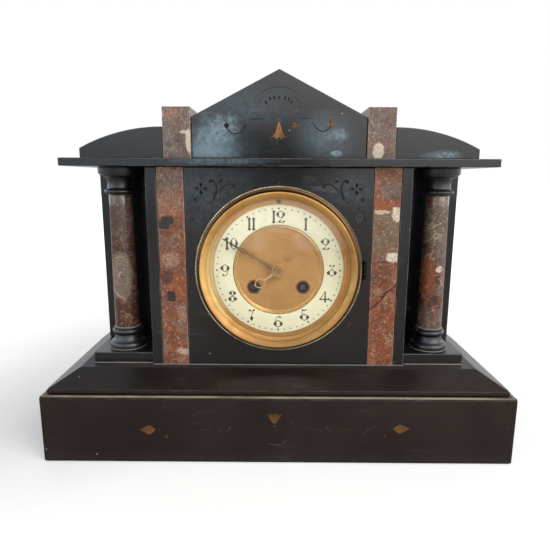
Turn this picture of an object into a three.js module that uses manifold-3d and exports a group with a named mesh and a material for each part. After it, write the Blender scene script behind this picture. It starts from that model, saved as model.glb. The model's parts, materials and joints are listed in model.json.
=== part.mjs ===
// Mantel clock in black slate, with red marble strips, columns and blocks, and a French round movement.
// Millimetres, +Z up, the dial faces -Y, origin under the middle of the plinth.

import * as THREE from "three";
import { mergeVertices } from "three/addons/utils/BufferGeometryUtils.js";
import Module from "manifold-3d";

const wasm = await Module();
wasm.setup();

// Fits
const plasterJoint = 0.3; // plaster bed between two stones
const seatGap = 0.3; // between metal pieces that are screwed, pressed or laid together
const runningGap = 0.35; // round a pivot, pipe or knuckle that turns

// Plinth
const plinthWidth = 390;
const plinthDepth = 160;
const plinthHeight = 58.2;
const plinthWall = 18;
const plinthBackWall = 14;
const capLedge = 5;
const capRiser = 3.5;
const capChamferRun = 21;
const capChamferRise = 11.8;

// Body of the case; the setbacks are measured from the face of the plinth
const bodyWidth = 321;
const bodyHeight = 167.5;
const bodyWall = 10;
const bodyBackInset = 8;
const panelSetback = 32.4;
const panelThickness = 12;
const panelWidth = 153.9;
const stripWidth = 21.8;
const bayWallThickness = 9;
const columnSlabSetback = 35.7;
const columnSlabThickness = 9.3;
const recessSetback = 77.3;

// Cornice and the pieces that stand on it
const corniceThickness = 6.3;
const corniceOverhang = 12;
const corniceBackOverhang = 4;
const crownSetback = 34;
const crownDepth = 78;
const pedimentWidth = 140;
const pedimentShoulder = 32;
const pedimentApex = 67.8;
const blockWidth = 22.3;
const blockHeight = 39.5;
const blockProud = 1.5;
const wingEnd = 7.6;
const wingCrown = 24.5;

// Columns
const columnOffset = 1.425; // column centre outside the middle of its recess
const columnSetback = 56;
const shaftFootRadius = 10.6;
const shaftHeadRadius = 9.7;
const baseHeight = 18.3;
const baseTorusRadius = 16;
const baseTorusHeight = 8;
const baseBeadRadius = 12.7;
const baseBeadHeight = 4;
const capitalHeight = 22.1;
const capitalRingRadius = 13.3;
const capitalRingHeight = 3.4;
const capitalNeckRadius = 10;
const abacusRadius = 17.4;
const abacusHeight = 6.2;

// Dial, in the frame of the clock face
const dialHeight = 83.8; // dial centre above the foot of the front panel
const chapterRadius = 54;
const chapterInnerRadius = 37.8;
const chapterEdge = 1;
const chapterCrown = 1.5;
const dialPlateThickness = 1.2;
const centreBeadWidth = 2;
const centreBeadHeight = 1.8;
const windingHoleRadius = 5;
const dialFootRadius = 1.6;
const dialFootCircle = 36;
const dialFootAngles = [30, 150, 270];
const surroundWidth = 6.3;
const surroundFoot = 1.5; // surround above the dial plate at the chapter ring
const surroundRise = 1.8;
const skirtLength = 15;
const skirtWall = 1.2;
const flangeRadius = 67;
const flangeThickness = 1.5;
const strapWidth = 9;
const strapThickness = 2.2;

// Bezel and glass
const bezelRadius = 69.2;
const bezelRopeRadius = 1.4;
const bezelCrestRadius = 64.4;
const bezelCrestWidth = 0.8;
const bezelHeight = 9.2;
const bezelLipRadius = 59.4;
const bezelLipThickness = 0.7;
const glassRim = 1.5; // part of the glass that lies under the lip
const glassThickness = 1.8;
const glassRise = 6;
const glassPutty = 0.6;
const glassHeight = 1.3; // glass edge above the surround
const thumbTabWidth = 7;
const thumbTabReach = 1.9;
const thumbTabThickness = 1.6;
const thumbTabAngle = 165;

// Hinges of the bezel and of the rear door
const knuckleRadius = 1.7;
const knuckleLength = 5;
const hingePinRadius = 0.8;
const hingeLeafThickness = 1.3;
const hingeSideGap = 0.5;

// Hands
const minuteHandLength = 53;
const minuteBossRadius = 5.8;
const hourHandLength = 28;
const hourBossRadius = 5.4;
const handThickness = 0.7;
const handBossHeight = 1.5;
const handSpacing = 0.5;
const handTipHalf = 0.25; // half widths across a hand
const handNeckHalf = 0.8;
const handRootHalf = 2.4;
const handRim = 0.9; // metal round the pierced openings
const minuteCrossHalf = 2.3;
const minuteLozengeHalf = 1.9;
const spadeHalf = 4.4;
const spadeShoulderHalf = 3;
const spadeNoseHalf = 2;
const minuteHandAngle = 300; // degrees clockwise from twelve
const hourHandAngle = 235;

// Movement frame
const plateRadius = 43.5;
const plateThickness = 2.4;
const plateSpacing = 36;
const frontPlateDepth = 14; // front of the panel to the front plate
const pillarRadius = 2.2;
const pillarCircle = 39.5;
const pillarAngles = [40, 140, 250, 290];
const pivotRadius = 0.45;
const pivotStandOut = 0.4; // pivot past the outer face of its plate
const arborRadius = 0.6;

// Winding arbors and barrels
const windingSpacing = 41.1;
const windingDrop = 14.5;
const windingArborRadius = 3;
const windingPivotRadius = 2;
const windingSquare = 4.2;
const ratchetRadius = 7.6;
const ratchetTeeth = 20;
const ratchetDepth = 1;
const ratchetThickness = 1.6;
const barrelLength = 17.5;
const barrelDrumRadius = 14.3;
const barrelEndGap = 1.2;
const barrelToothWidth = 2.4;

// Trains: teeth and modules of each mesh
const barrelTeeth = 36;
const secondPinionTeeth = 6;
const barrelModule = 0.9;
const secondTeeth = 48;
const centrePinionTeeth = 8;
const secondModule = 0.52;
const centreTeeth = 72;
const thirdPinionTeeth = 6;
const centreModule = 0.35;
const thirdTeeth = 60;
const escapePinionTeeth = 6;
const thirdModule = 0.36;
const escapeTeeth = 48;
const escapeRadius = 9.2;
const escapeToothDepth = 1.3;
const thirdArborAngle = 100;
const cannonTeeth = 10;
const minuteWheelTeeth = 30;
const minutePinionTeeth = 8;
const hourTeeth = 32;
const motionModule = 0.54;
const motionArborAngle = 270;
const wheelThickness = 1.2;
const layerPitch = 3.6; // wheel to wheel along the arbors
const pinionOverlap = 0.4; // pinion past the wheel that drives it
const motionPlateGap = 0.8;
const rimWidth = 2.2;
const hubRadius = 2.6;
const spokeWidth = 1.4;
const spokeCount = 4;

// Height and depth of a pointed tooth from its pitch circle, in modules
const toothAddendum = 0.55;
const toothDedendum = 1.1;

// Centre arbor and its pipes
const centreArborRadius = 1;
const cannonPipeWall = 0.65;
const hourPipeWall = 0.8;

// Escapement and pendulum
const palletSpan = 10.5; // teeth
const palletClearance = 0.75;
const palletLength = 2.6;
const palletWidth = 1.1;
const anchorHubRadius = 2;
const anchorThickness = 1.8;
const crutchArborRadius = 0.9;
const crutchLength = 34;
const crutchWidth = 2.4;
const crutchThickness = 1.2;
const forkProngWidth = 1;
const forkProngHeight = 4;
const forkGap = 0.5;
const pendulumLength = 97.1;
const pendulumPlane = 8; // rod behind the back plate
const rodRadius = 1.1;
const springWidth = 5;
const springThickness = 0.5;
const springBelow = 4; // spring below and above the line that it bends about
const springAbove = 5;
const ferruleHeight = 4;
const ferruleSize = 4.4;
const bobRadius = 15;
const bobThickness = 9;
const bobSwell = 0.8; // share of the radius over which the bob stays full
const ratingNutRadius = 3.2;
const ratingNutHeight = 3;
const rodTail = 1.5;

// Suspension cock and regulator
const cockWidth = 16;
const cockThickness = 3;
const cockFoot = 5; // cock below the anchor arbor
const springSlit = 2.2;
const springBlockWidth = 8;
const springBlockHeight = 7;
const regulatorRadius = 1.1;
const regulatorOffset = 56.8;
const regulatorSquare = 1.4;
const regulatorCollarRadius = 2.6;
const regulatorCollarLength = 1.6;

// Hammer and gong
const hammerArbor = new THREE.Vector2(-34, 10);
const hammerArborRadius = 1;
const hammerArmWidth = 2.6;
const hammerArmThickness = 2.2;
const hammerHeadRadius = 3.2;
const hammerHeadLength = 8;
const hammerStrikeAngle = 35;
const hammerGap = 0.6;
const gongOffset = 101; // gong centre to the left of the dial centre
const gongLift = 6;
const gongInnerRadius = 9;
const gongPitch = 9;
const gongTurns = 3;
const gongWireRadius = 1.5;
const gongPlane = 4.8; // coil behind the back plate
const gongBlockSize = 5;
const gongPostRadius = 3;
const gongPostOffset = 7; // post behind the coil
const gongFootClearance = 4.65; // foot of the gong to the slab under the column
const gongFootHeight = 4;

// Rear ring and door
const rearHoleRadius = 62;
const rearRingRadius = 68;
const rearRingInnerRadius = 57;
const rearRingThickness = 1.8;
const rearDoorRadius = 65;
const rearDoorThickness = 1.4;
const rearDoorDish = 1;
const rearDoorRim = 3;
const rearKnobRadius = 2.6;
const rearKnobLength = 2.4;
const rearKnobInset = 8;

// Facets of round pieces
const ringFacets = 36;
const columnFacets = 18;
const drumFacets = 20;
const pipeFacets = 16;
const smallFacets = 8;
const roundSteps = 3;
const coveSteps = 2;
const wingSteps = 8;
const wireSides = 6;
const wireStepsPerTurn = 24;

const degrees = THREE.MathUtils.degToRad;

// Materials
function finish(colour, roughness, metalness) {
  return new THREE.MeshStandardMaterial({ color: colour, roughness, metalness });
}

const slate = finish(0x24252a, 0.35, 0);
const marble = finish(0x8a5242, 0.3, 0);
const brass = finish(0xc09a52, 0.35, 1);
const gilt = finish(0xc4a063, 0.4, 1);
const steel = finish(0x8c8f94, 0.35, 1);
const enamel = finish(0xe6e5cd, 0.2, 0);
const glass = finish(0xe9f0f0, 0.05, 0);
const iron = finish(0x3c3a38, 0.6, 1);

// Solids
function solidOf(geometry) {
  const bare = geometry.clone();
  bare.deleteAttribute("normal");
  bare.deleteAttribute("uv");
  const merged = mergeVertices(bare, 1e-4);
  const corners = merged.index.array;
  const kept = [];
  for (let i = 0; i < corners.length; i += 3) {
    const [a, b, c] = [corners[i], corners[i + 1], corners[i + 2]];
    if (a !== b && b !== c && c !== a) kept.push(a, b, c);
  }
  const vertProperties = new Float32Array(merged.attributes.position.array);
  return new wasm.Manifold(new wasm.Mesh({ numProp: 3, vertProperties, triVerts: new Uint32Array(kept) }));
}

function geometryOf(solid) {
  const mesh = solid.getMesh();
  const geometry = new THREE.BufferGeometry();
  geometry.setAttribute("position", new THREE.BufferAttribute(mesh.vertProperties, 3));
  geometry.setIndex(new THREE.BufferAttribute(mesh.triVerts, 1));
  geometry.computeVertexNormals();
  return geometry;
}

function join(first, ...others) {
  let whole = solidOf(first);
  for (const other of others) whole = whole.add(solidOf(other));
  return geometryOf(whole);
}

function cut(first, ...tools) {
  let left = solidOf(first);
  for (const tool of tools) left = left.subtract(solidOf(tool));
  return geometryOf(left);
}

function meet(first, second) {
  return geometryOf(solidOf(first).intersect(solidOf(second)));
}

// Forms: everything is drawn flat on X and Y and rises along Z
function boxBetween([x0, x1], [y0, y1], [z0, z1]) {
  const geometry = new THREE.BoxGeometry(x1 - x0, y1 - y0, z1 - z0);
  return geometry.translate((x0 + x1) / 2, (y0 + y1) / 2, (z0 + z1) / 2);
}

function extruded(shape, z0, z1) {
  const geometry = new THREE.ExtrudeGeometry(shape, { depth: z1 - z0, bevelEnabled: false });
  return geometry.translate(0, 0, z0);
}

function turned(profile, facets) {
  const points = profile.map(([radius, height]) => new THREE.Vector2(radius, height));
  return new THREE.LatheGeometry(points, facets).rotateX(Math.PI / 2);
}

function arc(at, radius, from, to, steps) {
  return new THREE.EllipseCurve(at.x, at.y, radius, radius, from, to, to < from).getPoints(steps);
}

function pairs(points) {
  return points.map((point) => [point.x, point.y]);
}

// Half-round bead of a turned profile, between two heights
function bead(radius, z0, z1) {
  const half = (z1 - z0) / 2;
  return pairs(arc({ x: radius - half, y: z0 + half }, half, -Math.PI / 2, Math.PI / 2, roundSteps));
}

// Cove of a turned profile, without its first point
function cove(from, control, to) {
  const [start, pull, end] = [from, control, to].map(([x, y]) => new THREE.Vector2(x, y));
  return pairs(new THREE.QuadraticBezierCurve(start, pull, end).getPoints(coveSteps).slice(1));
}

function rod(radius, z0, z1, facets, at = { x: 0, y: 0 }) {
  const profile = [[0, z0], [radius, z0], [radius, z1], [0, z1]];
  return turned(profile, facets).translate(at.x, at.y, 0);
}

function circle(at, radius, facets) {
  const points = [];
  for (let i = 0; i < facets; i += 1) {
    const angle = (2 * Math.PI * i) / facets;
    points.push(new THREE.Vector2(at.x + radius * Math.cos(angle), at.y + radius * Math.sin(angle)));
  }
  return points;
}

function disc(radius, facets, holes = []) {
  const shape = new THREE.Shape(circle({ x: 0, y: 0 }, radius, facets));
  shape.holes = holes.map((points) => new THREE.Path(points));
  return shape;
}

function polar(radius, angle, from = { x: 0, y: 0 }) {
  return new THREE.Vector2(from.x + radius * Math.cos(angle), from.y + radius * Math.sin(angle));
}

// Where two circles cross, on the left of the line from the first centre to the second
function crossing(first, firstRadius, second, secondRadius) {
  const line = new THREE.Vector2().subVectors(second, first);
  const span = line.length();
  const along = (firstRadius ** 2 - secondRadius ** 2 + span ** 2) / (2 * span);
  const aside = Math.sqrt(firstRadius ** 2 - along ** 2);
  line.divideScalar(span);
  return new THREE.Vector2(
    first.x + line.x * along - line.y * aside,
    first.y + line.y * along + line.x * aside,
  );
}

// Stones
const clockCase = new THREE.Group();
const sides = [["left", -1], ["right", 1]];

function add(group, name, geometry, material) {
  const mesh = new THREE.Mesh(geometry, material);
  mesh.name = name;
  group.add(mesh);
  return mesh;
}

function slab(name, material, [x0, x1], [y0, y1], [z0, z1]) {
  const geometry = new THREE.BoxGeometry(Math.abs(x1 - x0), y1 - y0, z1 - z0);
  const mesh = add(clockCase, name, geometry, material);
  mesh.position.set((x0 + x1) / 2, (y0 + y1) / 2, (z0 + z1) / 2);
}

// A profile drawn as seen from the front, cut to a depth behind the plane frontY
function upright(shape, frontY, depth) {
  return extruded(shape, -depth, 0).rotateX(Math.PI / 2).translate(0, frontY, 0);
}

const plinthFrontY = -plinthDepth / 2;
const plinthBackY = plinthDepth / 2;
const plinthEdgeX = plinthWidth / 2;
const capBottomZ = plinthHeight + plasterJoint;
const capTopZ = capBottomZ + capRiser + capChamferRise;
const bodyBottomZ = capTopZ + plasterJoint;
const bodyTopZ = bodyBottomZ + bodyHeight;
const bodyEdgeX = bodyWidth / 2;
const bodyBackY = plinthBackY - bodyBackInset;
const panelFrontY = plinthFrontY + panelSetback;
const recessFrontY = plinthFrontY + recessSetback;
const recessBackY = recessFrontY + bodyWall;
const backPanelFrontY = bodyBackY - bodyWall;
const slabTopZ = bodyBottomZ + columnSlabThickness;
const stripX = panelWidth / 2 + plasterJoint;
const bayX = stripX + stripWidth + plasterJoint;
const recessX = bayX + bayWallThickness + plasterJoint;
const dialCentreZ = bodyBottomZ + dialHeight;

function buildPlinth() {
  const height = [0, plinthHeight];
  const endDepth = [plinthFrontY + plinthWall + plasterJoint, plinthBackY - plinthBackWall - plasterJoint];
  const across = [-plinthEdgeX, plinthEdgeX];
  slab("plinth_front", slate, across, [plinthFrontY, plinthFrontY + plinthWall], height);
  slab("plinth_back", slate, across, [plinthBackY - plinthBackWall, plinthBackY], height);
  for (const [name, side] of sides) {
    const end = [side * plinthEdgeX, side * (plinthEdgeX - plinthWall)];
    slab(`${name}_plinth_end`, slate, end, endDepth, height);
  }
  add(clockCase, "plinth_cap", plinthCap(), slate);
}

// The cap is chamfered in front and at both ends, and flush with the plinth behind
function plinthCap() {
  const footX = plinthEdgeX - capLedge;
  const headX = footX - capChamferRun;
  const riserZ = capBottomZ + capRiser;
  const fromFront = new THREE.Shape();
  fromFront.moveTo(-footX, capBottomZ);
  fromFront.lineTo(footX, capBottomZ);
  fromFront.lineTo(footX, riserZ);
  fromFront.lineTo(headX, capTopZ);
  fromFront.lineTo(-headX, capTopZ);
  fromFront.lineTo(-footX, riserZ);
  const footY = plinthFrontY + capLedge;
  const fromSide = new THREE.Shape();
  fromSide.moveTo(footY, capBottomZ);
  fromSide.lineTo(plinthBackY, capBottomZ);
  fromSide.lineTo(plinthBackY, capTopZ);
  fromSide.lineTo(footY + capChamferRun, capTopZ);
  fromSide.lineTo(footY, riserZ);
  const across = upright(fromFront, plinthFrontY, plinthDepth);
  const along = extruded(fromSide, -plinthEdgeX, plinthEdgeX).rotateX(Math.PI / 2).rotateZ(Math.PI / 2);
  return meet(across, along);
}

function piercedPanel(width, bottomZ, holeRadius) {
  const shape = new THREE.Shape();
  shape.moveTo(-width / 2, bottomZ);
  shape.lineTo(width / 2, bottomZ);
  shape.lineTo(width / 2, bodyTopZ);
  shape.lineTo(-width / 2, bodyTopZ);
  shape.holes = [new THREE.Path(circle({ x: 0, y: dialCentreZ }, holeRadius, ringFacets))];
  return shape;
}

function buildBody() {
  const height = [bodyBottomZ, bodyTopZ];
  const aboveSlab = [slabTopZ + plasterJoint, bodyTopZ];
  const panelDepth = [panelFrontY, panelFrontY + panelThickness];
  const skirtHole = skirtRadius + skirtWall + seatGap;
  const panel = piercedPanel(panelWidth, bodyBottomZ, skirtHole);
  add(clockCase, "front_panel", upright(panel, panelFrontY, panelThickness), slate);
  const back = piercedPanel(bodyWidth, slabTopZ + plasterJoint, rearHoleRadius);
  add(clockCase, "back_panel", upright(back, backPanelFrontY, bodyWall), slate);
  for (const [name, side] of sides) {
    slab(`${name}_marble_strip`, marble, [side * stripX, side * (stripX + stripWidth)], panelDepth, height);
    slab(`${name}_bay_wall`, slate, [side * bayX, side * (bayX + bayWallThickness)],
      [panelFrontY, recessBackY], height);
    slab(`${name}_column_slab`, slate, [side * recessX, side * bodyEdgeX],
      [plinthFrontY + columnSlabSetback, bodyBackY], [bodyBottomZ, slabTopZ]);
    slab(`${name}_recess_panel`, slate, [side * recessX, side * bodyEdgeX],
      [recessFrontY, recessBackY], aboveSlab);
    slab(`${name}_side_wall`, slate, [side * (bodyEdgeX - bodyWall), side * bodyEdgeX],
      [recessBackY + plasterJoint, backPanelFrontY - plasterJoint], aboveSlab);
  }
}

function baseProfile() {
  const beadZ = baseHeight - baseBeadHeight;
  const torus = bead(baseTorusRadius, 0, baseTorusHeight);
  const fillet = bead(baseBeadRadius, beadZ, baseHeight);
  const waist = [shaftFootRadius - baseBeadHeight / 2, (baseTorusHeight + beadZ) / 2];
  return [[0, 0], ...torus, ...cove(torus.at(-1), waist, fillet[0]), ...fillet.slice(1), [0, baseHeight]];
}

function capitalProfile() {
  const abacusZ = capitalHeight - abacusHeight;
  const neckZ = (capitalRingHeight + abacusZ) / 2;
  const flareRadius = (capitalNeckRadius + abacusRadius) / 2;
  const flareZ = (neckZ + abacusZ) / 2;
  const ring = bead(capitalRingRadius, 0, capitalRingHeight);
  const neck = [capitalNeckRadius, neckZ];
  const flare = [flareRadius, flareZ];
  const head = [abacusRadius, abacusZ];
  return [
    [0, 0],
    ...ring,
    ...cove(ring.at(-1), [capitalNeckRadius, capitalRingHeight], neck),
    ...cove(neck, [capitalNeckRadius, flareZ], flare),
    ...cove(flare, [abacusRadius, flareZ], head),
    [abacusRadius, capitalHeight],
    [0, capitalHeight],
  ];
}

function buildColumns() {
  const columnX = (recessX + bodyEdgeX) / 2 + columnOffset;
  const baseZ = slabTopZ + plasterJoint;
  const shaftZ = baseZ + baseHeight + plasterJoint;
  const capitalZ = bodyTopZ - capitalHeight;
  const shaftLength = capitalZ - plasterJoint - shaftZ;
  const shaft = [[0, 0], [shaftFootRadius, 0], [shaftHeadRadius, shaftLength], [0, shaftLength]];
  for (const [name, side] of sides) {
    const pieces = [
      [`${name}_column_base`, baseProfile(), slate, baseZ],
      [`${name}_column_shaft`, shaft, marble, shaftZ],
      [`${name}_column_capital`, capitalProfile(), slate, capitalZ],
    ];
    for (const [piece, profile, material, z] of pieces) {
      const mesh = add(clockCase, piece, turned(profile, columnFacets), material);
      mesh.position.set(side * columnX, plinthFrontY + columnSetback, z);
    }
  }
}

function buildCrown() {
  const corniceX = bodyEdgeX + corniceOverhang;
  const corniceZ = bodyTopZ + plasterJoint;
  const crownZ = corniceZ + corniceThickness + plasterJoint;
  const crownY = plinthFrontY + crownSetback;
  const corniceDepth = [panelFrontY - corniceOverhang, bodyBackY + corniceBackOverhang];
  const corniceRise = [corniceZ, corniceZ + corniceThickness];
  slab("cornice", slate, [-corniceX, corniceX], corniceDepth, corniceRise);

  const gable = new THREE.Shape();
  gable.moveTo(-pedimentWidth / 2, 0);
  gable.lineTo(pedimentWidth / 2, 0);
  gable.lineTo(pedimentWidth / 2, pedimentShoulder);
  gable.lineTo(0, pedimentApex);
  gable.lineTo(-pedimentWidth / 2, pedimentShoulder);
  const pediment = add(clockCase, "pediment", upright(gable, crownY, crownDepth), slate);
  pediment.position.z = crownZ;

  const blockX = pedimentWidth / 2 + plasterJoint;
  const wingX = blockX + blockWidth + plasterJoint;
  for (const [name, side] of sides) {
    slab(`${name}_marble_block`, marble, [side * blockX, side * (blockX + blockWidth)],
      [crownY - blockProud, crownY + crownDepth], [crownZ, crownZ + blockHeight]);
    const wing = add(clockCase, `${name}_wing`, upright(wingShape(wingX, side), crownY, crownDepth), slate);
    wing.position.z = crownZ;
  }
}

// The top of a wing is an arc that leaves its block level and drops to the end
function wingShape(wingX, side) {
  const reach = bodyEdgeX - wingX;
  const drop = wingCrown - wingEnd;
  const radius = (reach ** 2 + drop ** 2) / (2 * drop);
  const endAngle = Math.PI / 2 - Math.asin(reach / radius);
  const top = arc({ x: wingX, y: wingCrown - radius }, radius, endAngle, Math.PI / 2, wingSteps);
  const points = [new THREE.Vector2(wingX, 0), new THREE.Vector2(bodyEdgeX, 0), ...top];
  return new THREE.Shape(points.map((point) => new THREE.Vector2(side * point.x, point.y)));
}

// Clock: x to the right, y up and z towards the viewer, with z = 0 on the face of the front panel
const clock = new THREE.Group();
clock.position.set(0, panelFrontY, dialCentreZ);
clock.rotation.x = Math.PI / 2;

// Heights of the dial pieces above the face of the panel
const flangeBackZ = seatGap;
const flangeFrontZ = flangeBackZ + flangeThickness;
const plateFrontZ = dialPlateThickness / 2;
const plateBackZ = -dialPlateThickness / 2;
const chapterZ = plateFrontZ + seatGap;
const surroundInnerRadius = chapterRadius + seatGap;
const surroundRadius = surroundInnerRadius + surroundWidth;
const surroundFootZ = plateFrontZ + surroundFoot;
const surroundTopZ = surroundFootZ + surroundRise;
const skirtRadius = surroundRadius - seatGap - skirtWall / 2;
const glassRadius = bezelLipRadius + glassRim;
const glassZ = surroundTopZ + glassHeight;
const bezelBackZ = flangeFrontZ + seatGap;
const hingeX = bezelRadius + knuckleRadius + hingeSideGap;
const hingeZ = flangeBackZ + knuckleRadius;
const regulatorAt = new THREE.Vector2(0, regulatorOffset);

// Depths of the movement
const frontPlateZ = -frontPlateDepth;
const frontPlateBackZ = frontPlateZ - plateThickness;
const backPlateZ = frontPlateBackZ - plateSpacing;
const backPlateBackZ = backPlateZ - plateThickness;
const rearFaceZ = panelFrontY - bodyBackY;

// Arbors, seen from the front
const centreAt = new THREE.Vector2(0, 0);
const goingAt = new THREE.Vector2(windingSpacing / 2, -windingDrop);
const strikeAt = new THREE.Vector2(-windingSpacing / 2, -windingDrop);

function meshDistance(teeth, otherTeeth, module) {
  return ((teeth + otherTeeth) * module) / 2;
}

const secondAt = crossing(
  centreAt,
  meshDistance(secondTeeth, centrePinionTeeth, secondModule),
  goingAt,
  meshDistance(barrelTeeth, secondPinionTeeth, barrelModule),
);
const thirdAt = polar(meshDistance(centreTeeth, thirdPinionTeeth, centreModule), degrees(thirdArborAngle));
const thirdToEscape = meshDistance(thirdTeeth, escapePinionTeeth, thirdModule);
const escapeAt = new THREE.Vector2(0, thirdAt.y + Math.sqrt(thirdToEscape ** 2 - thirdAt.x ** 2));
const palletHalfAngle = (palletSpan * Math.PI) / escapeTeeth;
const anchorAt = new THREE.Vector2(0, escapeAt.y + escapeRadius / Math.cos(palletHalfAngle));
const motionDistance = meshDistance(cannonTeeth, minuteWheelTeeth, motionModule);
const hourModule = (2 * motionDistance) / (minutePinionTeeth + hourTeeth);
const motionAt = polar(motionDistance, degrees(motionArborAngle));

// Wheels
function toothed(teeth, module, phase) {
  const pitchRadius = (teeth * module) / 2;
  const pitchAngle = (2 * Math.PI) / teeth;
  const root = pitchRadius - toothDedendum * module;
  const tip = pitchRadius + toothAddendum * module;
  const points = [];
  for (let i = 0; i < teeth; i += 1) {
    const middle = phase + i * pitchAngle;
    points.push(polar(tip, middle));
    points.push(polar(root, middle + pitchAngle / 2));
  }
  return points;
}

// Phase of a wheel that meshes with another wheel of a known phase
function meshingPhase(from, teeth, phase, to, otherTeeth) {
  const towards = Math.atan2(to.y - from.y, to.x - from.x);
  const passed = ((towards - phase) * teeth) / (2 * Math.PI);
  return towards + Math.PI + ((passed - 0.5) * 2 * Math.PI) / otherTeeth;
}

// Openings between the spokes of a wheel
function crossings(rootRadius) {
  const outer = rootRadius - rimWidth;
  const openings = [];
  for (let i = 0; i < spokeCount; i += 1) {
    const middle = (2 * Math.PI * (i + 0.5)) / spokeCount;
    const half = Math.PI / spokeCount;
    const outerHalf = half - spokeWidth / 2 / outer;
    const innerHalf = half - spokeWidth / 2 / hubRadius;
    const ends = [polar(hubRadius, middle + innerHalf), polar(hubRadius, middle - innerHalf)];
    const rim = arc({ x: 0, y: 0 }, outer, middle - outerHalf, middle + outerHalf, coveSteps);
    openings.push([...rim, ...ends]);
  }
  return openings;
}

function wheel(teeth, module, phase, z0, z1) {
  const root = (teeth * module) / 2 - toothDedendum * module;
  const shape = new THREE.Shape(toothed(teeth, module, phase));
  shape.holes = crossings(root).map((points) => new THREE.Path(points));
  return extruded(shape, z0, z1);
}

function pinion(teeth, module, phase, z0, z1) {
  return extruded(new THREE.Shape(toothed(teeth, module, phase)), z0, z1);
}

// An arbor between the plates, with a pivot in each of them
function arbor(radius, pivot = pivotRadius) {
  const profile = [
    [0, backPlateBackZ - pivotStandOut],
    [pivot, backPlateBackZ - pivotStandOut],
    [pivot, backPlateZ + seatGap],
    [radius, backPlateZ + seatGap],
    [radius, frontPlateBackZ - seatGap],
    [pivot, frontPlateBackZ - seatGap],
    [pivot, frontPlateZ + pivotStandOut],
    [0, frontPlateZ + pivotStandOut],
  ];
  return turned(profile, smallFacets);
}

function place(name, geometry, material, at) {
  const mesh = add(clock, name, geometry, material);
  mesh.position.set(at.x, at.y, 0);
}

// Fronts of the wheels of the going train, one layer behind another
const barrelFrontZ = frontPlateBackZ - barrelEndGap;
const barrelToothZ = barrelFrontZ - barrelLength + barrelToothWidth;
const secondZ = barrelFrontZ - barrelLength - layerPitch / 2;
const centreZ = secondZ - layerPitch;
const thirdZ = centreZ - layerPitch;
const escapeZ = thirdZ - layerPitch;

function buildGoingTrain() {
  const steps = [
    ["second_wheel", secondAt, goingAt, barrelTeeth, barrelModule, secondPinionTeeth, barrelToothZ,
      secondTeeth, secondModule, secondZ],
    ["centre_wheel", centreAt, secondAt, secondTeeth, secondModule, centrePinionTeeth, secondZ,
      centreTeeth, centreModule, centreZ],
    ["third_wheel", thirdAt, centreAt, centreTeeth, centreModule, thirdPinionTeeth, centreZ,
      thirdTeeth, thirdModule, thirdZ],
  ];
  for (const [name, at, driverAt, driverTeeth, driverModule, leaves, driverZ, teeth, module, z] of steps) {
    const phase = meshingPhase(driverAt, driverTeeth, 0, at, leaves);
    const leafPinion = pinion(leaves, driverModule, phase, z - wheelThickness / 2, driverZ + pinionOverlap);
    const rim = wheel(teeth, module, 0, z - wheelThickness, z);
    const shaft = name === "centre_wheel" ? centreArbor() : arbor(arborRadius);
    place(name, join(shaft, rim, leafPinion), brass, at);
  }
  place("escape_wheel", escapeWheel(), brass, escapeAt);
}

// The centre arbor runs forward through the cannon pinion to the minute hand
function centreArbor() {
  const profile = [
    [0, backPlateBackZ - pivotStandOut],
    [pivotRadius, backPlateBackZ - pivotStandOut],
    [pivotRadius, backPlateZ + seatGap],
    [centreArborRadius, backPlateZ + seatGap],
    [centreArborRadius, cannonTopZ + handSpacing],
    [0, cannonTopZ + handSpacing],
  ];
  return turned(profile, smallFacets);
}

function escapeWheel() {
  const pitch = (2 * Math.PI) / escapeTeeth;
  const root = escapeRadius - escapeToothDepth;
  const points = [];
  for (let i = 0; i < escapeTeeth; i += 1) {
    points.push(polar(root, i * pitch));
    points.push(polar(escapeRadius, i * pitch));
  }
  const shape = new THREE.Shape(points);
  shape.holes = crossings(root).map((opening) => new THREE.Path(opening));
  const rim = extruded(shape, escapeZ - wheelThickness, escapeZ);
  const phase = meshingPhase(thirdAt, thirdTeeth, 0, escapeAt, escapePinionTeeth);
  const leavesZ = [escapeZ - wheelThickness / 2, thirdZ + pinionOverlap];
  const leaves = pinion(escapePinionTeeth, thirdModule, phase, ...leavesZ);
  return join(arbor(arborRadius), rim, leaves);
}

function buildBarrels() {
  const backZ = barrelFrontZ - barrelLength;
  const bore = windingArborRadius + runningGap;
  for (const [name, at] of [["going", goingAt], ["strike", strikeAt]]) {
    const gear = new THREE.Shape(toothed(barrelTeeth, barrelModule, 0));
    const shell = rod(barrelDrumRadius, backZ, barrelFrontZ, drumFacets);
    const drum = join(shell, extruded(gear, backZ, barrelToothZ));
    const hole = rod(bore, backZ - seatGap, barrelFrontZ + seatGap, pipeFacets);
    place(`${name}_barrel`, cut(drum, hole), brass, at);
    place(`${name}_winding_arbor`, windingArbor(), steel, at);
  }
}

// Arbor, ratchet wheel and the square that the key turns
function windingArbor() {
  const backZ = barrelFrontZ - barrelLength - seatGap;
  const ratchetBackZ = frontPlateZ + motionPlateGap;
  const profile = [
    [0, backPlateBackZ - pivotStandOut],
    [windingPivotRadius, backPlateBackZ - pivotStandOut],
    [windingPivotRadius, backZ],
    [windingArborRadius, backZ],
    [windingArborRadius, ratchetBackZ + ratchetThickness],
    [0, ratchetBackZ + ratchetThickness],
  ];
  const pitch = (2 * Math.PI) / ratchetTeeth;
  const saw = [];
  for (let i = 0; i < ratchetTeeth; i += 1) {
    saw.push(polar(ratchetRadius - ratchetDepth, i * pitch));
    saw.push(polar(ratchetRadius, i * pitch));
  }
  const ratchet = extruded(new THREE.Shape(saw), ratchetBackZ, ratchetBackZ + ratchetThickness);
  const half = windingSquare / 2;
  const square = boxBetween([-half, half], [-half, half], [ratchetBackZ, plateFrontZ]);
  return join(turned(profile, pipeFacets), ratchet, square);
}

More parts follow.
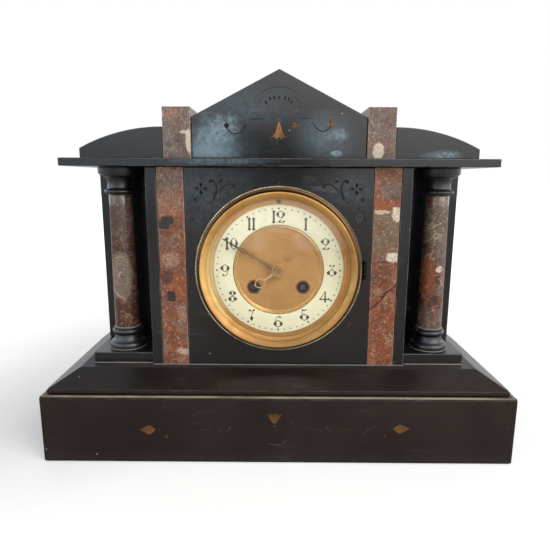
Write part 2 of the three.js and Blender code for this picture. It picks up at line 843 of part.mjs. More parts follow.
function buildPlates() {
  const pivotHole = pivotRadius + runningGap;
  const windingHoles = [goingAt, strikeAt];
  const shared = [secondAt, thirdAt, escapeAt].map((at) => circle(at, pivotHole, smallFacets));
  const front = disc(plateRadius, ringFacets, [
    ...shared,
    circle(anchorAt, pivotHole, smallFacets),
    circle(hammerArbor, pivotHole, smallFacets),
    circle(centreAt, centreArborRadius + runningGap, smallFacets),
    ...windingHoles.map((at) => circle(at, windingArborRadius + runningGap, pipeFacets)),
  ]);
  const studTopZ = hourWheelZ;
  const stud = rod(arborRadius, frontPlateBackZ, studTopZ, smallFacets, motionAt);
  add(clock, "front_plate", join(extruded(front, frontPlateBackZ, frontPlateZ), stud), brass);

  const back = disc(plateRadius, ringFacets, [
    ...shared,
    circle(centreAt, pivotHole, smallFacets),
    circle(anchorAt, crutchArborRadius + runningGap, smallFacets),
    circle(hammerArbor, hammerArborRadius + runningGap, smallFacets),
    ...windingHoles.map((at) => circle(at, windingPivotRadius + runningGap, smallFacets)),
  ]);
  const pillars = pillarAngles.map((angle) => {
    const at = polar(pillarCircle, degrees(angle));
    return rod(pillarRadius, backPlateZ - plateThickness / 2, frontPlateBackZ - seatGap, smallFacets, at);
  });
  add(clock, "back_plate", join(extruded(back, backPlateBackZ, backPlateZ), ...pillars), brass);
}

// Motion work: cannon pinion, minute wheel and hour wheel in two layers before the front plate
const minuteWheelZ = frontPlateZ + motionPlateGap;
const hourWheelZ = minuteWheelZ + wheelThickness * 2;
const hourHandZ = chapterZ + chapterCrown + handSpacing;
const minuteHandZ = hourHandZ + handBossHeight + handSpacing;
const cannonTopZ = minuteHandZ + handBossHeight;
const cannonBore = centreArborRadius + runningGap;
const cannonRadius = cannonBore + cannonPipeWall;
const hourBore = cannonRadius + runningGap;
const hourPipeRadius = hourBore + hourPipeWall;

function pipe(bore, radius, z0, z1) {
  return turned([[bore, z0], [radius, z0], [radius, z1], [bore, z1], [bore, z0]], pipeFacets);
}

function buildMotionWork() {
  const bottomZ = frontPlateZ + motionPlateGap / 2;
  const leavesTopZ = minuteWheelZ + wheelThickness + pinionOverlap;
  const leaves = new THREE.Shape(toothed(cannonTeeth, motionModule, 0));
  leaves.holes = [new THREE.Path(circle(centreAt, cannonBore, pipeFacets))];
  const cannonPipe = pipe(cannonBore, cannonRadius, bottomZ, cannonTopZ);
  const cannon = join(cannonPipe, extruded(leaves, bottomZ, leavesTopZ));
  place("cannon_pinion", cannon, steel, centreAt);

  const wheelPhase = meshingPhase(centreAt, cannonTeeth, 0, motionAt, minuteWheelTeeth);
  const minuteBore = circle(centreAt, arborRadius + runningGap, smallFacets);
  const minuteRim = new THREE.Shape(toothed(minuteWheelTeeth, motionModule, wheelPhase));
  minuteRim.holes = [new THREE.Path(minuteBore)];
  const minuteLeaves = new THREE.Shape(toothed(minutePinionTeeth, hourModule, 0));
  minuteLeaves.holes = [new THREE.Path(minuteBore)];
  const minuteWheel = join(
    extruded(minuteRim, minuteWheelZ, minuteWheelZ + wheelThickness),
    extruded(minuteLeaves, minuteWheelZ + wheelThickness / 2, hourWheelZ + wheelThickness + pinionOverlap),
  );
  place("minute_wheel", minuteWheel, brass, motionAt);

  const hourPhase = meshingPhase(motionAt, minutePinionTeeth, 0, centreAt, hourTeeth);
  const hourRim = new THREE.Shape(toothed(hourTeeth, hourModule, hourPhase));
  hourRim.holes = [new THREE.Path(circle(centreAt, hourBore, pipeFacets))];
  const hourWheel = join(
    extruded(hourRim, hourWheelZ, hourWheelZ + wheelThickness),
    pipe(hourBore, hourPipeRadius, hourWheelZ, hourHandZ + handBossHeight),
  );
  place("hour_wheel", hourWheel, brass, centreAt);
}

// A hand is drawn at twelve as half widths along its length, with a round boss and a pierced lozenge
function hand(length, outline, opening, [bossRadius, bore, z]) {
  const right = outline.map(([share, half]) => new THREE.Vector2(half, share * length));
  const left = right.map((point) => new THREE.Vector2(-point.x, point.y)).reverse();
  const blade = new THREE.Shape([...right, ...left]);
  const [openFoot, openHead, openHalf] = opening;
  const openMiddle = (openFoot + openHead) / 2;
  blade.holes = [new THREE.Path([
    new THREE.Vector2(0, openFoot * length),
    new THREE.Vector2(openHalf, openMiddle * length),
    new THREE.Vector2(0, openHead * length),
    new THREE.Vector2(-openHalf, openMiddle * length),
  ])];
  const bladeZ = z + (handBossHeight - handThickness) / 2;
  const boss = rod(bossRadius, z, z + handBossHeight, pipeFacets);
  const hole = rod(bore, z - seatGap, z + handBossHeight + seatGap, pipeFacets);
  return cut(join(extruded(blade, bladeZ, bladeZ + handThickness), boss), hole);
}

function buildHands() {
  const minuteOutline = [
    [0.04, handRootHalf],
    [0.4, handNeckHalf],
    [0.45, handNeckHalf],
    [0.48, minuteCrossHalf],
    [0.51, handNeckHalf],
    [0.53, handNeckHalf],
    [0.63, minuteLozengeHalf],
    [0.73, handNeckHalf],
    [1, handTipHalf],
  ];
  const hourOutline = [
    [0.1, handRootHalf],
    [0.42, handNeckHalf],
    [0.5, spadeShoulderHalf],
    [0.66, spadeHalf],
    [0.8, spadeNoseHalf],
    [0.86, handNeckHalf],
    [1, handTipHalf],
  ];
  const minuteOpening = [0.56, 0.7, minuteLozengeHalf - handRim];
  const hourOpening = [0.5, 0.78, spadeHalf - 2 * handRim];
  const minuteBoss = [minuteBossRadius, cannonRadius + seatGap, minuteHandZ];
  const hourBoss = [hourBossRadius, hourPipeRadius + seatGap, hourHandZ];
  const minute = hand(minuteHandLength, minuteOutline, minuteOpening, minuteBoss);
  const hour = hand(hourHandLength, hourOutline, hourOpening, hourBoss);
  add(clock, "minute_hand", minute, gilt).rotation.z = -degrees(minuteHandAngle);
  add(clock, "hour_hand", hour, gilt).rotation.z = -degrees(hourHandAngle);
}

// Dial frame: flange on the panel, sloping surround of the dial, skirt through the panel, straps to the rear
function dialFrame() {
  const profile = [
    [skirtRadius, -skirtLength],
    [skirtRadius + skirtWall, -skirtLength],
    [skirtRadius + skirtWall, flangeBackZ],
    [flangeRadius, flangeBackZ],
    [flangeRadius, flangeFrontZ],
    [surroundRadius, flangeFrontZ],
    [surroundRadius, surroundTopZ],
    [surroundInnerRadius, surroundFootZ],
    [surroundInnerRadius, chapterZ],
    [skirtRadius, chapterZ],
    [skirtRadius, -skirtLength],
  ];
  const strapEndZ = rearFaceZ;
  const straps = sides.map(([, side]) => {
    const outer = side * (skirtRadius + skirtWall / 2);
    const inner = outer - side * strapThickness;
    const across = side > 0 ? [inner, outer] : [outer, inner];
    return boxBetween(across, [-strapWidth / 2, strapWidth / 2], [strapEndZ, -panelThickness]);
  });
  const knuckles = [1, -1].map((end) => {
    const near = knuckleLength / 2 + seatGap;
    const far = near + knuckleLength;
    const along = end > 0 ? [near, far] : [-far, -near];
    return hingeHalf(along, flangeRadius - hingeSideGap, flangeBackZ, flangeFrontZ);
  });
  const whole = join(turned(profile, ringFacets), ...straps, ...knuckles);
  const keyTopZ = surroundTopZ + seatGap;
  const keyHole = rod(regulatorRadius + runningGap, plateBackZ, keyTopZ, smallFacets, regulatorAt);
  return cut(whole, keyHole, hingeBore());
}

// A knuckle round the hinge line, with the leaf that ties it to a ring
function hingeHalf([y0, y1], leafX, z0, z1) {
  const barrel = rod(knuckleRadius, y0, y1, smallFacets).rotateX(-Math.PI / 2).translate(hingeX, 0, hingeZ);
  return join(barrel, boxBetween([leafX, hingeX], [y0, y1], [z0, z1]));
}

function hingeBore() {
  const reach = knuckleLength * 2;
  return rod(hingePinRadius + runningGap, -reach, reach, smallFacets).rotateX(-Math.PI / 2)
    .translate(hingeX, 0, hingeZ);
}

function hingePin(radius) {
  const reach = knuckleLength * 1.5 + seatGap;
  return rod(radius, -reach, reach, smallFacets).rotateX(-Math.PI / 2).translate(hingeX, 0, hingeZ);
}

function dialPlate() {
  const plate = disc(skirtRadius - seatGap, ringFacets, [
    circle(centreAt, hourPipeRadius + runningGap, pipeFacets),
    circle(goingAt, windingHoleRadius, pipeFacets),
    circle(strikeAt, windingHoleRadius, pipeFacets),
    circle(regulatorAt, regulatorRadius + runningGap, smallFacets),
  ]);
  const beadOuter = chapterInnerRadius - seatGap;
  const beadInner = beadOuter - centreBeadWidth;
  const beadTopZ = plateFrontZ + centreBeadHeight;
  const beadProfile = [
    [beadInner, 0],
    [beadOuter, 0],
    ...cove([beadOuter, 0], [beadOuter, beadTopZ], [(beadInner + beadOuter) / 2, beadTopZ]),
    ...cove([(beadInner + beadOuter) / 2, beadTopZ], [beadInner, beadTopZ], [beadInner, 0]),
  ];
  const feet = dialFootAngles.map((angle) => {
    const at = polar(dialFootCircle, degrees(angle));
    return rod(dialFootRadius, frontPlateZ + seatGap, 0, smallFacets, at);
  });
  return join(extruded(plate, plateBackZ, plateFrontZ), turned(beadProfile, ringFacets), ...feet);
}

function chapterRing() {
  const edgeZ = chapterZ + chapterEdge;
  const middle = (chapterInnerRadius + chapterRadius) / 2;
  const crownZ = chapterZ + chapterCrown * 2 - chapterEdge;
  const profile = [
    [chapterInnerRadius, chapterZ],
    [chapterRadius, chapterZ],
    [chapterRadius, edgeZ],
    ...cove([chapterRadius, edgeZ], [middle, crownZ], [chapterInnerRadius, edgeZ]),
    [chapterInnerRadius, chapterZ],
  ];
  return turned(profile, ringFacets);
}

// Bezel: rope edge, dark cove, crest and a band that slopes in to the glass
function bezelRing() {
  const glassTopZ = glassZ + glassThickness;
  const lipBackZ = glassTopZ + glassPutty;
  const crestZ = bezelBackZ + bezelHeight;
  const wallRadius = glassRadius + seatGap;
  const rope = bead(bezelRadius, bezelBackZ, bezelBackZ + bezelRopeRadius * 2);
  const profile = [
    [wallRadius, bezelBackZ],
    ...rope,
    ...cove(rope.at(-1), [bezelCrestRadius, rope.at(-1)[1]], [bezelCrestRadius, crestZ]),
    [bezelCrestRadius - bezelCrestWidth, crestZ],
    [bezelLipRadius, lipBackZ + bezelLipThickness],
    [bezelLipRadius, lipBackZ],
    [wallRadius, lipBackZ],
    [wallRadius, bezelBackZ],
  ];
  const half = knuckleLength / 2;
  const knuckle = hingeHalf([-half, half], bezelCrestRadius, bezelBackZ, bezelBackZ + hingeLeafThickness);
  const tabReach = [bezelCrestRadius, bezelRadius + thumbTabReach];
  const tabAcross = [-thumbTabWidth / 2, thumbTabWidth / 2];
  const tabDepth = [bezelBackZ, bezelBackZ + thumbTabThickness];
  const tab = boxBetween(tabReach, tabAcross, tabDepth).rotateZ(degrees(thumbTabAngle));
  return cut(join(turned(profile, ringFacets), knuckle, tab), hingeBore());
}

// Convex glass: a shell between two arcs of the same rise
function bezelGlass() {
  const sphere = (glassRadius ** 2 + glassRise ** 2) / (2 * glassRise);
  const spread = Math.asin(glassRadius / sphere);
  const rings = roundSteps;
  const inner = [];
  const outer = [];
  for (let i = 0; i <= rings; i += 1) {
    const angle = (spread * i) / rings;
    const radius = sphere * Math.sin(angle);
    const height = glassZ + glassRise - sphere * (1 - Math.cos(angle));
    inner.push([radius, height]);
    outer.push([radius, height + glassThickness]);
  }
  return turned([...inner, ...outer.reverse()], ringFacets);
}

function buildDial() {
  add(clock, "dial_frame", dialFrame(), brass);
  add(clock, "dial_plate", dialPlate(), gilt);
  add(clock, "chapter_ring", chapterRing(), enamel);
  add(clock, "bezel_ring", bezelRing(), brass);
  add(clock, "bezel_glass", bezelGlass(), glass);
  add(clock, "bezel_hinge_pin", hingePin(hingePinRadius), steel);
}

// Escapement: anchor over the escape wheel, with its arbor, crutch and fork
const cockBackZ = backPlateBackZ - seatGap - cockThickness;
const crutchZ = cockBackZ - seatGap;
const rodZ = backPlateBackZ - pendulumPlane;

function anchorShape() {
  const tipRadius = escapeRadius + palletClearance;
  const rootRadius = tipRadius + palletLength;
  const half = palletWidth / 2;
  const nib = (side) => {
    const middle = Math.PI / 2 - side * palletHalfAngle;
    const at = (radius, shift) => polar(radius, middle - side * (shift / radius), escapeAt).sub(anchorAt);
    return [at(rootRadius, half), at(tipRadius, half), at(tipRadius, -half), at(rootRadius - half, -half)];
  };
  const crown = new THREE.Vector2(0, anchorHubRadius / 2);
  const arch = new THREE.Vector2(0, -anchorHubRadius / 2);
  return new THREE.Shape([crown, ...nib(1), arch, ...nib(-1).reverse()]);
}

function anchorPiece() {
  const anchorZ = escapeZ - wheelThickness / 2;
  const body = extruded(anchorShape(), anchorZ - anchorThickness / 2, anchorZ + anchorThickness / 2);
  const hub = rod(anchorHubRadius, anchorZ - anchorThickness / 2, anchorZ + anchorThickness / 2, smallFacets);
  const profile = [
    [0, crutchZ - crutchThickness],
    [crutchArborRadius, crutchZ - crutchThickness],
    [crutchArborRadius, backPlateZ + seatGap],
    [arborRadius, backPlateZ + seatGap],
    [arborRadius, frontPlateBackZ - seatGap],
    [pivotRadius, frontPlateBackZ - seatGap],
    [pivotRadius, frontPlateZ + pivotStandOut],
    [0, frontPlateZ + pivotStandOut],
  ];
  const crutch = boxBetween([-crutchWidth / 2, crutchWidth / 2], [-crutchLength, anchorHubRadius],
    [crutchZ - crutchThickness, crutchZ]);
  const prongInner = rodRadius + forkGap;
  const prongOuter = prongInner + forkProngWidth;
  const prongDepth = [rodZ - rodRadius - forkGap, crutchZ];
  const prongHeight = [-crutchLength, -crutchLength + forkProngHeight];
  const web = boxBetween([-prongOuter, prongOuter], prongHeight, [crutchZ - crutchThickness, crutchZ]);
  const prongs = [[-prongOuter, -prongInner], [prongInner, prongOuter]].map(
    (across) => boxBetween(across, prongHeight, prongDepth),
  );
  return join(turned(profile, smallFacets), hub, body, crutch, web, ...prongs);
}

// Pendulum: suspension spring, ferrule and rod in one piece, with the bob resting on the rating nut
function pendulumRod() {
  const bobY = -pendulumLength;
  const nutTopY = bobY - bobRadius - seatGap;
  const ferruleTopY = -springBelow;
  const springAcross = [-springThickness / 2, springThickness / 2];
  const springRise = [ferruleTopY - ferruleHeight / 2, springAbove];
  const springDepth = [rodZ - springWidth / 2, rodZ + springWidth / 2];
  const spring = boxBetween(springAcross, springRise, springDepth);
  const half = ferruleSize / 2;
  const ferruleRise = [ferruleTopY - ferruleHeight, ferruleTopY];
  const ferrule = boxBetween([-half, half], ferruleRise, [rodZ - half, rodZ + half]);
  const profile = [
    [0, nutTopY - ratingNutHeight - rodTail],
    [rodRadius, nutTopY - ratingNutHeight - rodTail],
    [rodRadius, nutTopY - ratingNutHeight],
    [ratingNutRadius, nutTopY - ratingNutHeight],
    [ratingNutRadius, nutTopY],
    [rodRadius, nutTopY],
    [rodRadius, ferruleTopY - ferruleHeight / 2],
    [0, ferruleTopY - ferruleHeight / 2],
  ];
  const shaft = turned(profile, smallFacets).rotateX(-Math.PI / 2).translate(0, 0, rodZ);
  return join(shaft, ferrule, spring);
}

function pendulumBob() {
  const half = bobThickness / 2;
  const edge = [bobRadius, 0];
  const profile = [
    [0, -half],
    ...cove([0, -half], [bobRadius * bobSwell, -half], edge),
    ...cove(edge, [bobRadius * bobSwell, half], [0, half]),
  ];
  const lens = turned(profile, drumFacets).translate(0, -pendulumLength, rodZ);
  const reach = bobRadius + seatGap;
  const bore = rod(rodRadius + seatGap, -reach, reach, smallFacets).rotateX(-Math.PI / 2)
    .translate(0, -pendulumLength, rodZ);
  return cut(lens, bore);
}

// Cock on the back plate: it clamps the suspension spring and carries the regulator arbor
function suspensionCock() {
  const half = cockWidth / 2;
  const topY = regulatorAt.y - anchorAt.y;
  const shoulderY = springAbove + springBlockHeight;
  const shape = new THREE.Shape([
    new THREE.Vector2(-half, -cockFoot),
    new THREE.Vector2(half, -cockFoot),
    new THREE.Vector2(half, shoulderY),
    ...arc({ x: 0, y: topY }, half / 2, 0, Math.PI, roundSteps),
    new THREE.Vector2(-half, shoulderY),
  ]);
  const arborHole = crutchArborRadius + runningGap;
  shape.holes = [
    new THREE.Path(circle({ x: 0, y: 0 }, arborHole, smallFacets)),
    new THREE.Path(circle({ x: 0, y: topY }, regulatorRadius + runningGap, smallFacets)),
  ];
  const foot = anchorHubRadius + seatGap;
  const blockBackZ = rodZ - springWidth / 2 - springSlit / 2;
  const blockAcross = [-springBlockWidth / 2, springBlockWidth / 2];
  const blockDepth = [blockBackZ, cockBackZ + cockThickness / 2];
  const block = boxBetween(blockAcross, [foot, springAbove + springBlockHeight], blockDepth);
  const slit = boxBetween([-springSlit / 2, springSlit / 2], [foot - seatGap, springAbove + seatGap],
    [blockBackZ - seatGap, rodZ + springWidth / 2 + seatGap]);
  return cut(join(extruded(shape, cockBackZ, cockBackZ + cockThickness), block), slit);
}

// Regulator arbor from the dial to the cock, with a square for a small key
function regulatorArbor() {
  const half = regulatorSquare / 2;
  const collarZ = cockBackZ - seatGap;
  const profile = [
    [0, collarZ - regulatorCollarLength],
    [regulatorCollarRadius, collarZ - regulatorCollarLength],
    [regulatorCollarRadius, collarZ],
    [regulatorRadius, collarZ],
    [regulatorRadius, plateFrontZ],
    [0, plateFrontZ],
  ];
  const square = boxBetween([-half, half], [-half, half], [plateBackZ, surroundFootZ]);
  return join(turned(profile, smallFacets), square);
}

function buildEscapement() {
  place("anchor", anchorPiece(), steel, anchorAt);
  place("suspension_cock", suspensionCock(), brass, anchorAt);
  place("pendulum_rod", pendulumRod(), steel, anchorAt);
  place("pendulum_bob", pendulumBob(), brass, anchorAt);
  place("regulator_arbor", regulatorArbor(), steel, regulatorAt);
}

// Gong: a flat spiral wound clockwise from its block, struck on its outer turn
const gongZ = backPlateBackZ - gongPlane;
const gongCentre = new THREE.Vector2(-gongOffset, gongLift);

function gongRadius(turn) {
  return gongInnerRadius + gongPitch * turn;
}

function gongPoints() {
  const straight = gongWireRadius * 2;
  const points = [new THREE.Vector3(gongInnerRadius, straight, 0)];
  const count = gongTurns * wireStepsPerTurn;
  for (let i = 0; i <= count; i += 1) {
    const turn = i / wireStepsPerTurn;
    const at = polar(gongRadius(turn), -2 * Math.PI * turn);
    points.push(new THREE.Vector3(at.x, at.y, 0));
  }
  return points;
}

// One unbroken wire: rings of points square to the path, joined and capped
function wire(points, radius) {
  const positions = [];
  const index = [];
  const up = new THREE.Vector3(0, 0, 1);
  points.forEach((point, i) => {
    const before = points[Math.max(i - 1, 0)];
    const after = points[Math.min(i + 1, points.length - 1)];
    const along = new THREE.Vector3().subVectors(after, before).normalize();
    const aside = new THREE.Vector3().crossVectors(up, along);
    for (let k = 0; k < wireSides; k += 1) {
      const angle = (2 * Math.PI * k) / wireSides;
      const corner = point.clone().addScaledVector(aside, radius * Math.cos(angle));
      corner.addScaledVector(up, radius * Math.sin(angle));
      positions.push(corner.x, corner.y, corner.z);
    }
  });
  const rings = points.length;
  for (let i = 0; i < rings - 1; i += 1) {
    for (let k = 0; k < wireSides; k += 1) {
      const next = (k + 1) % wireSides;
      const [a, b] = [i * wireSides + k, i * wireSides + next];
      index.push(a, b, b + wireSides, a, b + wireSides, a + wireSides);
    }
  }
  for (let k = 1; k < wireSides - 1; k += 1) {
    const end = (rings - 1) * wireSides;
    index.push(0, k + 1, k, end, end + k, end + k + 1);
  }
  const geometry = new THREE.BufferGeometry();
  geometry.setAttribute("position", new THREE.Float32BufferAttribute(positions, 3));
  geometry.setIndex(index);
  geometry.computeVertexNormals();
  return geometry;
}

function leastSelfGap(points, radius) {
  let least = Infinity;
  for (let i = 0; i < points.length; i += 1) {
    for (let k = i + wireStepsPerTurn / 2; k < points.length; k += 1) {
      least = Math.min(least, points[i].distanceTo(points[k]) - 2 * radius);
    }
  }
  return least;
}

function buildStrike() {
  const points = gongPoints();
  console.log("least gap of the gong wire to itself, mm:", leastSelfGap(points, gongWireRadius).toFixed(2));
  const coil = add(clock, "gong_coil", wire(points, gongWireRadius), steel);
  coil.position.set(gongCentre.x, gongCentre.y, gongZ);
  add(clock, "gong_stand", gongStand(), iron).position.set(gongCentre.x, gongCentre.y, gongZ);
  place("hammer", hammer(), steel, hammerArbor);
}

function gongStand() {
  const half = gongBlockSize / 2;
  const blockFootY = gongWireRadius * 2 + seatGap;
  const footY = bodyBottomZ - dialCentreZ - gongCentre.y;
  const postTopY = blockFootY + gongBlockSize;
  const block = boxBetween([gongInnerRadius - half, gongInnerRadius + half], [blockFootY, postTopY],
    [-gongPostOffset, half]);
  const post = rod(gongPostRadius, footY, postTopY, smallFacets);
  const footRadius = recessX - gongFootClearance - (gongOffset - gongInnerRadius);
  const foot = rod(footRadius, footY, footY + gongFootHeight, pipeFacets);
  const stand = join(post, foot).rotateX(-Math.PI / 2).translate(gongInnerRadius, 0, -gongPostOffset);
  return join(stand, block);
}

// Hammer: arbor between the plates, arm behind them, head just off the outer turn of the gong
function hammer() {
  const strike = degrees(hammerStrikeAngle);
  const struckRadius = gongRadius(gongTurns - hammerStrikeAngle / 360) + gongWireRadius;
  const reach = struckRadius + hammerGap + hammerHeadLength / 2;
  const headAt = polar(reach, strike, gongCentre).sub(hammerArbor);
  const armZ = backPlateBackZ - seatGap;
  const profile = [
    [0, armZ - hammerArmThickness],
    [hammerArborRadius, armZ - hammerArmThickness],
    [hammerArborRadius, frontPlateBackZ - seatGap],
    [pivotRadius, frontPlateBackZ - seatGap],
    [pivotRadius, frontPlateZ + pivotStandOut],
    [0, frontPlateZ + pivotStandOut],
  ];
  const armLength = headAt.length();
  const arm = boxBetween([-hammerArmWidth / 2, armLength], [-hammerArmWidth / 2, hammerArmWidth / 2],
    [armZ - hammerArmThickness, armZ]).rotateZ(Math.atan2(headAt.y, headAt.x));
  const half = hammerHeadLength / 2;
  const head = rod(hammerHeadRadius, -half, half, smallFacets).rotateY(Math.PI / 2).rotateZ(strike)
    .translate(headAt.x, headAt.y, gongZ);
  return join(turned(profile, smallFacets), arm, head);
}

// Rear ring on the back panel, with a hinged dished door

function turnedToRear(geometry) {
  return geometry.rotateY(Math.PI).translate(0, 0, rearFaceZ);
}

function rearRing() {
  const backZ = seatGap + rearRingThickness;
  const profile = [
    [rearRingInnerRadius, seatGap],
    [rearRingRadius, seatGap],
    [rearRingRadius, backZ],
    [rearRingInnerRadius, backZ],
    [rearRingInnerRadius, seatGap],
  ];
  const knuckles = [1, -1].map((end) => {
    const near = knuckleLength / 2 + seatGap;
    const far = near + knuckleLength;
    return hingeHalf(end > 0 ? [near, far] : [-far, -near], rearRingRadius - hingeSideGap, seatGap, backZ);
  });
  const pin = hingePin(hingePinRadius);
  return turnedToRear(join(turned(profile, ringFacets), ...knuckles, pin));
}

function rearDoor() {
  const frontZ = seatGap * 2 + rearRingThickness;
  const backZ = frontZ + rearDoorThickness;
  const dishRadius = rearDoorRadius - rearDoorRim;
  const profile = [
    [0, frontZ + rearDoorDish],
    [dishRadius - rearDoorDish, frontZ + rearDoorDish],
    [dishRadius, frontZ],
    [rearDoorRadius, frontZ],
    [rearDoorRadius, backZ],
    [dishRadius, backZ],
    [dishRadius - rearDoorDish, backZ + rearDoorDish],
    [0, backZ + rearDoorDish],
  ];
  const half = knuckleLength / 2;
  const knuckle = hingeHalf([-half, half], rearDoorRadius - rearDoorRim, frontZ, backZ);
  const knobAt = { x: -(rearDoorRadius - rearKnobInset), y: 0 };
  const knob = rod(rearKnobRadius, frontZ + rearDoorThickness, backZ + rearDoorDish + rearKnobLength,
    smallFacets, knobAt);
  const whole = join(turned(profile, ringFacets), knuckle, knob);
  return turnedToRear(cut(whole, hingeBore()));
}

function buildRear() {
  add(clock, "rear_ring", rearRing(), brass);
  add(clock, "rear_door", rearDoor(), brass);
}

buildPlinth();
buildBody();
buildColumns();
buildCrown();
buildDial();
buildHands();
buildMotionWork();
buildPlates();
buildBarrels();
buildGoingTrain();
buildEscapement();
buildStrike();
buildRear();

const mantelClock = new THREE.Group();
mantelClock.add(clockCase, clock);

export default mantelClock;
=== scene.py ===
"""Slate mantel clock: stone, metal and enamel finishes, turned and engraved pieces, and a studio stage."""

import json
import math
from functools import partial

import bpy
from mathutils import Matrix, Vector


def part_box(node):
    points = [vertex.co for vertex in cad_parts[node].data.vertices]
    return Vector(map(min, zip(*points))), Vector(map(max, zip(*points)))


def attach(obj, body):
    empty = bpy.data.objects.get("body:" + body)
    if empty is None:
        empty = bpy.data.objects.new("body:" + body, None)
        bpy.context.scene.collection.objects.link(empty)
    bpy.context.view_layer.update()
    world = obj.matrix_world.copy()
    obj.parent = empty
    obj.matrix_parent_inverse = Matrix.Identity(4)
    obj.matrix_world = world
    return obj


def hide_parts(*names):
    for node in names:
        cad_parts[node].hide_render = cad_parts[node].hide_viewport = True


bl_info = {
    "name": "Slate mantel clock",
    "version": (1, 0, 0),
    "blender": (4, 5, 0),
    "location": "View3D > Sidebar > Clock",
    "description": "Dresses the case, dial and movement of a slate mantel clock",
    "category": "Object",
}

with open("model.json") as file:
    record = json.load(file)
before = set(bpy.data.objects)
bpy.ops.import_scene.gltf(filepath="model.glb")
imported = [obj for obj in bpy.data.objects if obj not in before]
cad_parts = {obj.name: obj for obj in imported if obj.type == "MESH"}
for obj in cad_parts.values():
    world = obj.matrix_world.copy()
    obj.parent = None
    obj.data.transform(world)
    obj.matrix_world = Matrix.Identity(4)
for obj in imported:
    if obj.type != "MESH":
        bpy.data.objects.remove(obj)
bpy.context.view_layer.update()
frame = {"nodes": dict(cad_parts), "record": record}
nodes = frame["nodes"]

MM = 0.001
FULL_TURN = 2 * math.pi
SIDES = (("left", -1), ("right", 1))

# Turns from the XY plane to the front and to the back of the clock
FORWARD = Matrix.Rotation(math.pi / 2, 4, "X")
BACKWARD = Matrix.Rotation(-math.pi / 2, 4, "X")

# Hinges of the bezel and the rear door, in millimetres from the dial's axis and from the panel
HINGE_ASIDE = 71.4
HINGE_OUT = 2.0
KNUCKLE_RADIUS = 1.7
PIN_BORE = 0.95
OUTER_KNUCKLES = ((2.8, 7.8), (-7.8, -2.8))
MIDDLE_KNUCKLE = ((-2.5, 2.5),)

# Smoothing angles, in degrees
CRISP_TURNING = 35
SOFT_TURNING = 40
ROUND_WIRE = 50
CUT_METAL = 36
CURVED_SLATE = 12


def joint_place(name):
    """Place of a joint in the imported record."""
    for joint in frame["record"]["behaviour"]["joints"]:
        if joint["name"] == name:
            return Vector(joint["pos_m"])
    raise ValueError("no joint called " + name)


def mm(*values):
    """Millimetres in metres."""
    return tuple(value * MM for value in values)


def moved(x, y, z=0):
    """Shift by millimetres."""
    return Matrix.Translation(mm(x, y, z))


# The dial's own frame: x to the right, y up, z towards the viewer, zero on the face of the front panel
DIAL_CENTRE = joint_place("minute_turn")
DIAL = Matrix.Translation(DIAL_CENTRE) @ FORWARD
REAR_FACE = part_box("back_panel")[1].y
REAR = Matrix.Translation((0, REAR_FACE, DIAL_CENTRE.z)) @ BACKWARD


# Sizes and colours

def srgb(red, green, blue):
    """Linear value of a colour given as 0 to 255."""
    linear = []
    for value in (red, green, blue):
        share = value / 255
        linear.append(share / 12.92 if share <= 0.04045 else ((share + 0.055) / 1.055) ** 2.4)
    return tuple(linear)


def colour(name, description, *levels):
    """Colour property with its default as 0 to 255."""
    return bpy.props.FloatVectorProperty(
        name=name, description=description, subtype="COLOR", size=3, min=0, max=1, default=srgb(*levels)
    )


def number(name, description, default, **kind):
    """Number property."""
    return bpy.props.FloatProperty(name=name, description=description, default=default, **kind)


def length(name, description, millimetres):
    """Length property with its default in millimetres."""
    return number(name, description, millimetres * MM, subtype="DISTANCE", unit="LENGTH", precision=5)


def tilt(name, description, degrees):
    """Angle property with its default in degrees."""
    return number(name, description, math.radians(degrees), subtype="ANGLE")


def count(name, description, default):
    """Whole number property."""
    return bpy.props.IntProperty(name=name, description=description, default=default, min=3)


class ClockStoneSettings(bpy.types.PropertyGroup):
    """Sizes and colours of the stone case."""

    arris: length("Arris", "Width of the rubbed edge of a slate", 0.7)
    plinth_arris: length("Plinth arris", "Width of the rubbed edge of the plinth", 2.2)
    marble_arris: length("Marble arris", "Width of the rubbed edge of a marble piece", 0.4)
    steps: count("Turning steps", "Facets round a turned column piece", 72)
    relief: length("Relief", "Thickness of the filling in an engraved line", 0.12)
    slate: colour("Slate", "Polished black slate of the case", 20, 20, 23)
    slate_cloud: colour("Slate cloud", "Paler clouds in the polish", 36, 36, 39)
    plinth: colour("Plinth slate", "Browner slate of the plinth", 30, 22, 20)
    plinth_cloud: colour("Plinth cloud", "Paler clouds in the plinth", 43, 34, 31)
    # Dull bloom in the polish, and also painted reflection of a bluish window on the slate
    bloom: colour("Bloom", "Pale blue bloom where the polish has gone dull", 152, 178, 190)
    scuff: colour("Scuff", "Rubbed places and fine scratches", 120, 122, 124)
    arris_wear: colour("Arris wear", "Stone showing along a rubbed edge", 92, 92, 92)
    plinth_wear: colour("Plinth wear", "Stone showing along the edges of the plinth", 62, 53, 48)
    cap_wear: colour("Cap wear", "Stone showing along the edges of the plinth's cap", 58, 51, 46)
    # Pale on the plinth's ledge: old wax and dust, and painted highlight along the ledge's front
    ledge: colour("Ledge", "Old wax and dust on a ledge", 186, 178, 146)
    incised: colour("Incised line", "Bottom of an engraved line", 9, 9, 11)
    incised_pale: colour("Pale incised line", "Engraved line that has filled with dust", 92, 92, 92)
    # Pale joint lines: old plaster, and painted highlight where the joints catch the light
    plaster: colour("Plaster", "Old plaster in the joints", 142, 137, 124)
    gilt_line: colour("Gilt line", "Old gilding left in the engraving", 126, 86, 48)
    gilt_pale: colour("Pale gilt", "Gilding that still shines on the bellflower", 168, 124, 78)
    gilt_worn: colour("Worn gilt", "Engraving with only a trace of gilding", 84, 54, 34)


